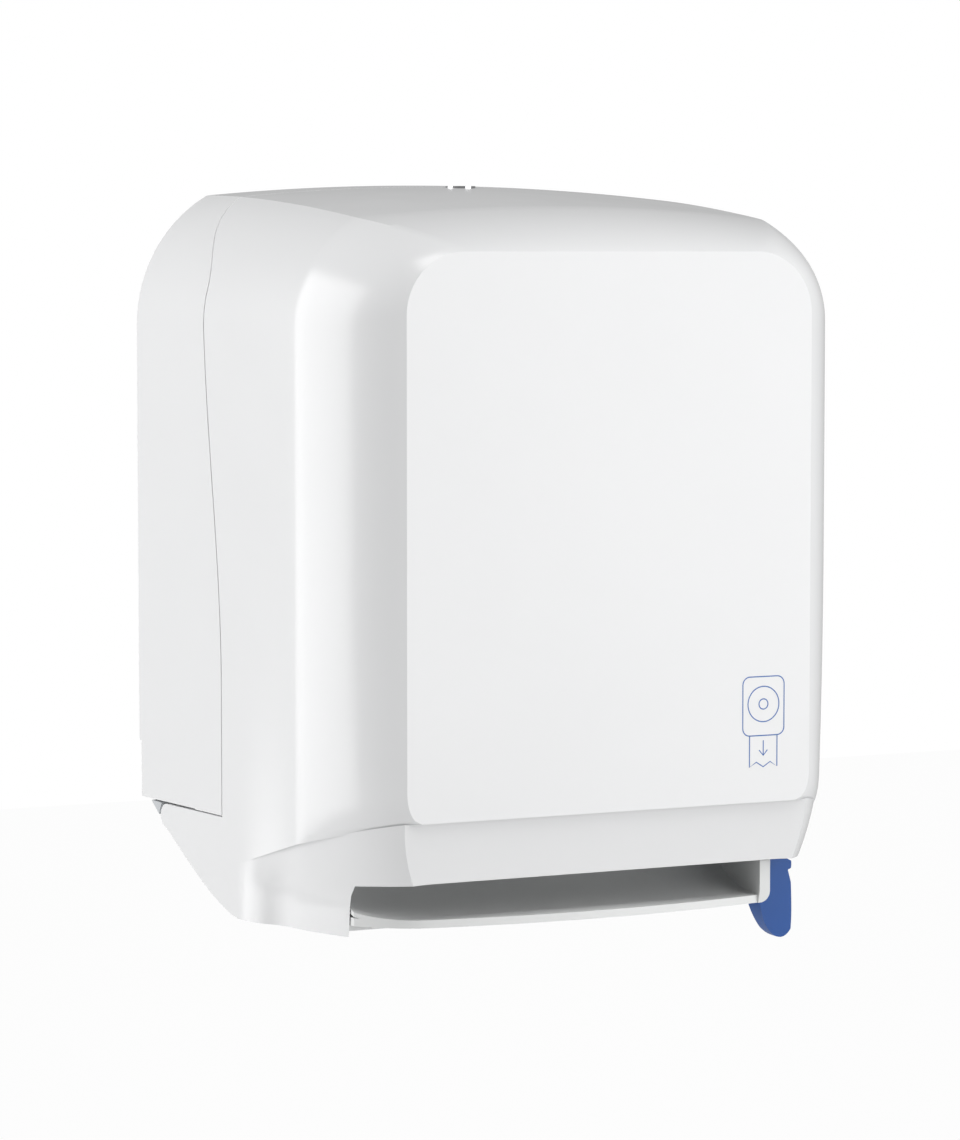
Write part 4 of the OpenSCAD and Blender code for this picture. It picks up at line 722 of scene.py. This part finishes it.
def make_mark():
    """The sign's lines as one mesh."""
    x, h, line = 86.0, 104.0, 0.6
    parts = [stroke(soft_box(x - 12, x + 12, h - 10, h + 20, 4.0), line, True),
             stroke(ring(x, h + 6, 9.0, 48), line, True),
             stroke(ring(x, h + 6, 2.6, 32), line, True),
             stroke([(x - 8, h - 10), (x - 8, h - 26), (x - 4, h - 23.5), (x, h - 26), (x + 4, h - 23.5),
                     (x + 8, h - 26), (x + 8, h - 10)], line),
             stroke([(x, h - 12.5), (x, h - 20)], line),
             stroke([(x - 2.4, h - 17.4), (x, h - 20.2), (x + 2.4, h - 17.4)], line)]
    first = parts[0]
    bm = bmesh.new()
    for part in parts:
        bm.from_mesh(part.data)
    bm.to_mesh(first.data)
    bm.free()
    for part in parts[1:]:
        drop(part)
    return first


finish_piece(rounded(make_cover(), 0.5), "cover_shell", "cover", WHITE, ["front_cover"], 20)
finish_piece(rounded(make_rear_shell(), 0.4), "rear_casing", "chassis", WHITE,
             ["rear_shell"], 20)
finish_piece(rounded(make_tray(), 0.6, 3), "tray_shell", "cover", TRAY_WHITE,
             ["outlet_tray"], 25)
finish_piece(rounded(make_lever(), 0.9, 3), "lever_shell", "lever", BLUE,
             ["push_lever"], 25)
finish_piece(make_mark(), "printed_mark", "cover", PRINT)


# ---- Camera, floor and light ----
def look(obj, target):
    """Turns a lamp to face a point."""
    obj.rotation_euler = (target - obj.location).to_track_quat("-Z", "Y").to_euler()


def make_camera():
    """The photo's view; focal length, drop of the view below level and frame height are in its pixels."""
    yaw, focal_px, drop_px, frame_px = 26.0, 4122.0, 318.5, 1140.0
    place = at(-953.3, -1803.3, 338.5)
    data = bpy.data.cameras.new("camera")
    data.sensor_width = 36.0
    data.lens = focal_px / frame_px * data.sensor_width
    data.clip_end = 50
    cam = bpy.data.objects.new("camera", data)
    bpy.context.scene.collection.objects.link(cam)
    cam.location = place
    cam.rotation_euler = (rad(90) - math.atan2(drop_px, focal_px), 0, rad(-yaw))
    bpy.context.scene.camera = cam


def area_light(name, azimuth, distance, height, size, power):
    """A soft box round the object; azimuth 0 is in front of the panel and 90 is to its left."""
    data = bpy.data.lights.new(name, "AREA")
    data.shape = "RECTANGLE"
    data.size, data.size_y = size
    data.energy = power
    light = bpy.data.objects.new(name, data)
    bpy.context.scene.collection.objects.link(light)
    a = rad(azimuth)
    light.location = (-distance * math.sin(a), MIDDLE - distance * math.cos(a), height)
    look(light, Vector((0, MIDDLE, 0)))


def make_floor():
    """A pale floor in metres, below the object, that the camera sees as almost white."""
    side, height, seen_white = 6, -1, 0.97
    corners = [(-side, -side, height), (side, -side, height), (side, side, height), (-side, side, height)]
    floor = mesh_object("floor", corners, [[0, 1, 2, 3]])
    mat, tree, bsdf = node_material("floor_white")
    coords = tree.nodes.new("ShaderNodeTexCoord")
    tree.links.new(tint(tree, noise(tree, coords, 3.0), (0.86, 0.86, 0.86), (0.9, 0.9, 0.9)),
                   bsdf.inputs["Base Color"])
    bsdf.inputs["Roughness"].default_value = 0.8
    glow, blend, path = (tree.nodes.new(n) for n in
                         ("ShaderNodeEmission", "ShaderNodeMixShader", "ShaderNodeLightPath"))
    glow.inputs["Color"].default_value = (1, 1, 1, 1)
    scale = tree.nodes.new("ShaderNodeMath")
    scale.operation = "MULTIPLY"
    scale.inputs[1].default_value = seen_white
    tree.links.new(path.outputs["Is Camera Ray"], scale.inputs[0])
    tree.links.new(scale.outputs[0], blend.inputs["Fac"])
    tree.links.new(bsdf.outputs[0], blend.inputs[1])
    tree.links.new(glow.outputs[0], blend.inputs[2])
    tree.links.new(blend.outputs[0], tree.nodes["Material Output"].inputs["Surface"])
    floor.data.materials.append(mat)


def make_world():
    """Dim white light from all round, in front of a background that the camera sees as white."""
    strength = 0.26
    world = bpy.data.worlds.new("studio")
    bpy.context.scene.world = world
    world.use_nodes = True
    tree = world.node_tree
    soft = tree.nodes["Background"]
    soft.inputs["Color"].default_value = (1, 1, 1, 1)
    soft.inputs["Strength"].default_value = strength
    white, blend, path = (tree.nodes.new(n) for n in
                          ("ShaderNodeBackground", "ShaderNodeMixShader", "ShaderNodeLightPath"))
    white.inputs["Color"].default_value = (1, 1, 1, 1)
    white.inputs["Strength"].default_value = 1.0
    tree.links.new(path.outputs["Is Camera Ray"], blend.inputs["Fac"])
    tree.links.new(soft.outputs[0], blend.inputs[1])
    tree.links.new(white.outputs[0], blend.inputs[2])
    tree.links.new(blend.outputs[0], tree.nodes["World Output"].inputs["Surface"])


make_camera()
make_floor()
make_world()
area_light("front_box", -38, distance=2.4, height=0.5, size=(2.2, 2.2), power=35)
area_light("left_box", 114, distance=2.2, height=0.35, size=(1.9, 2.1), power=38)
area_light("top_box", 0, distance=1.4, height=2.8, size=(2.4, 1.6), power=44)
bpy.context.scene.view_settings.view_transform = "Standard"
bpy.context.view_layer.update()
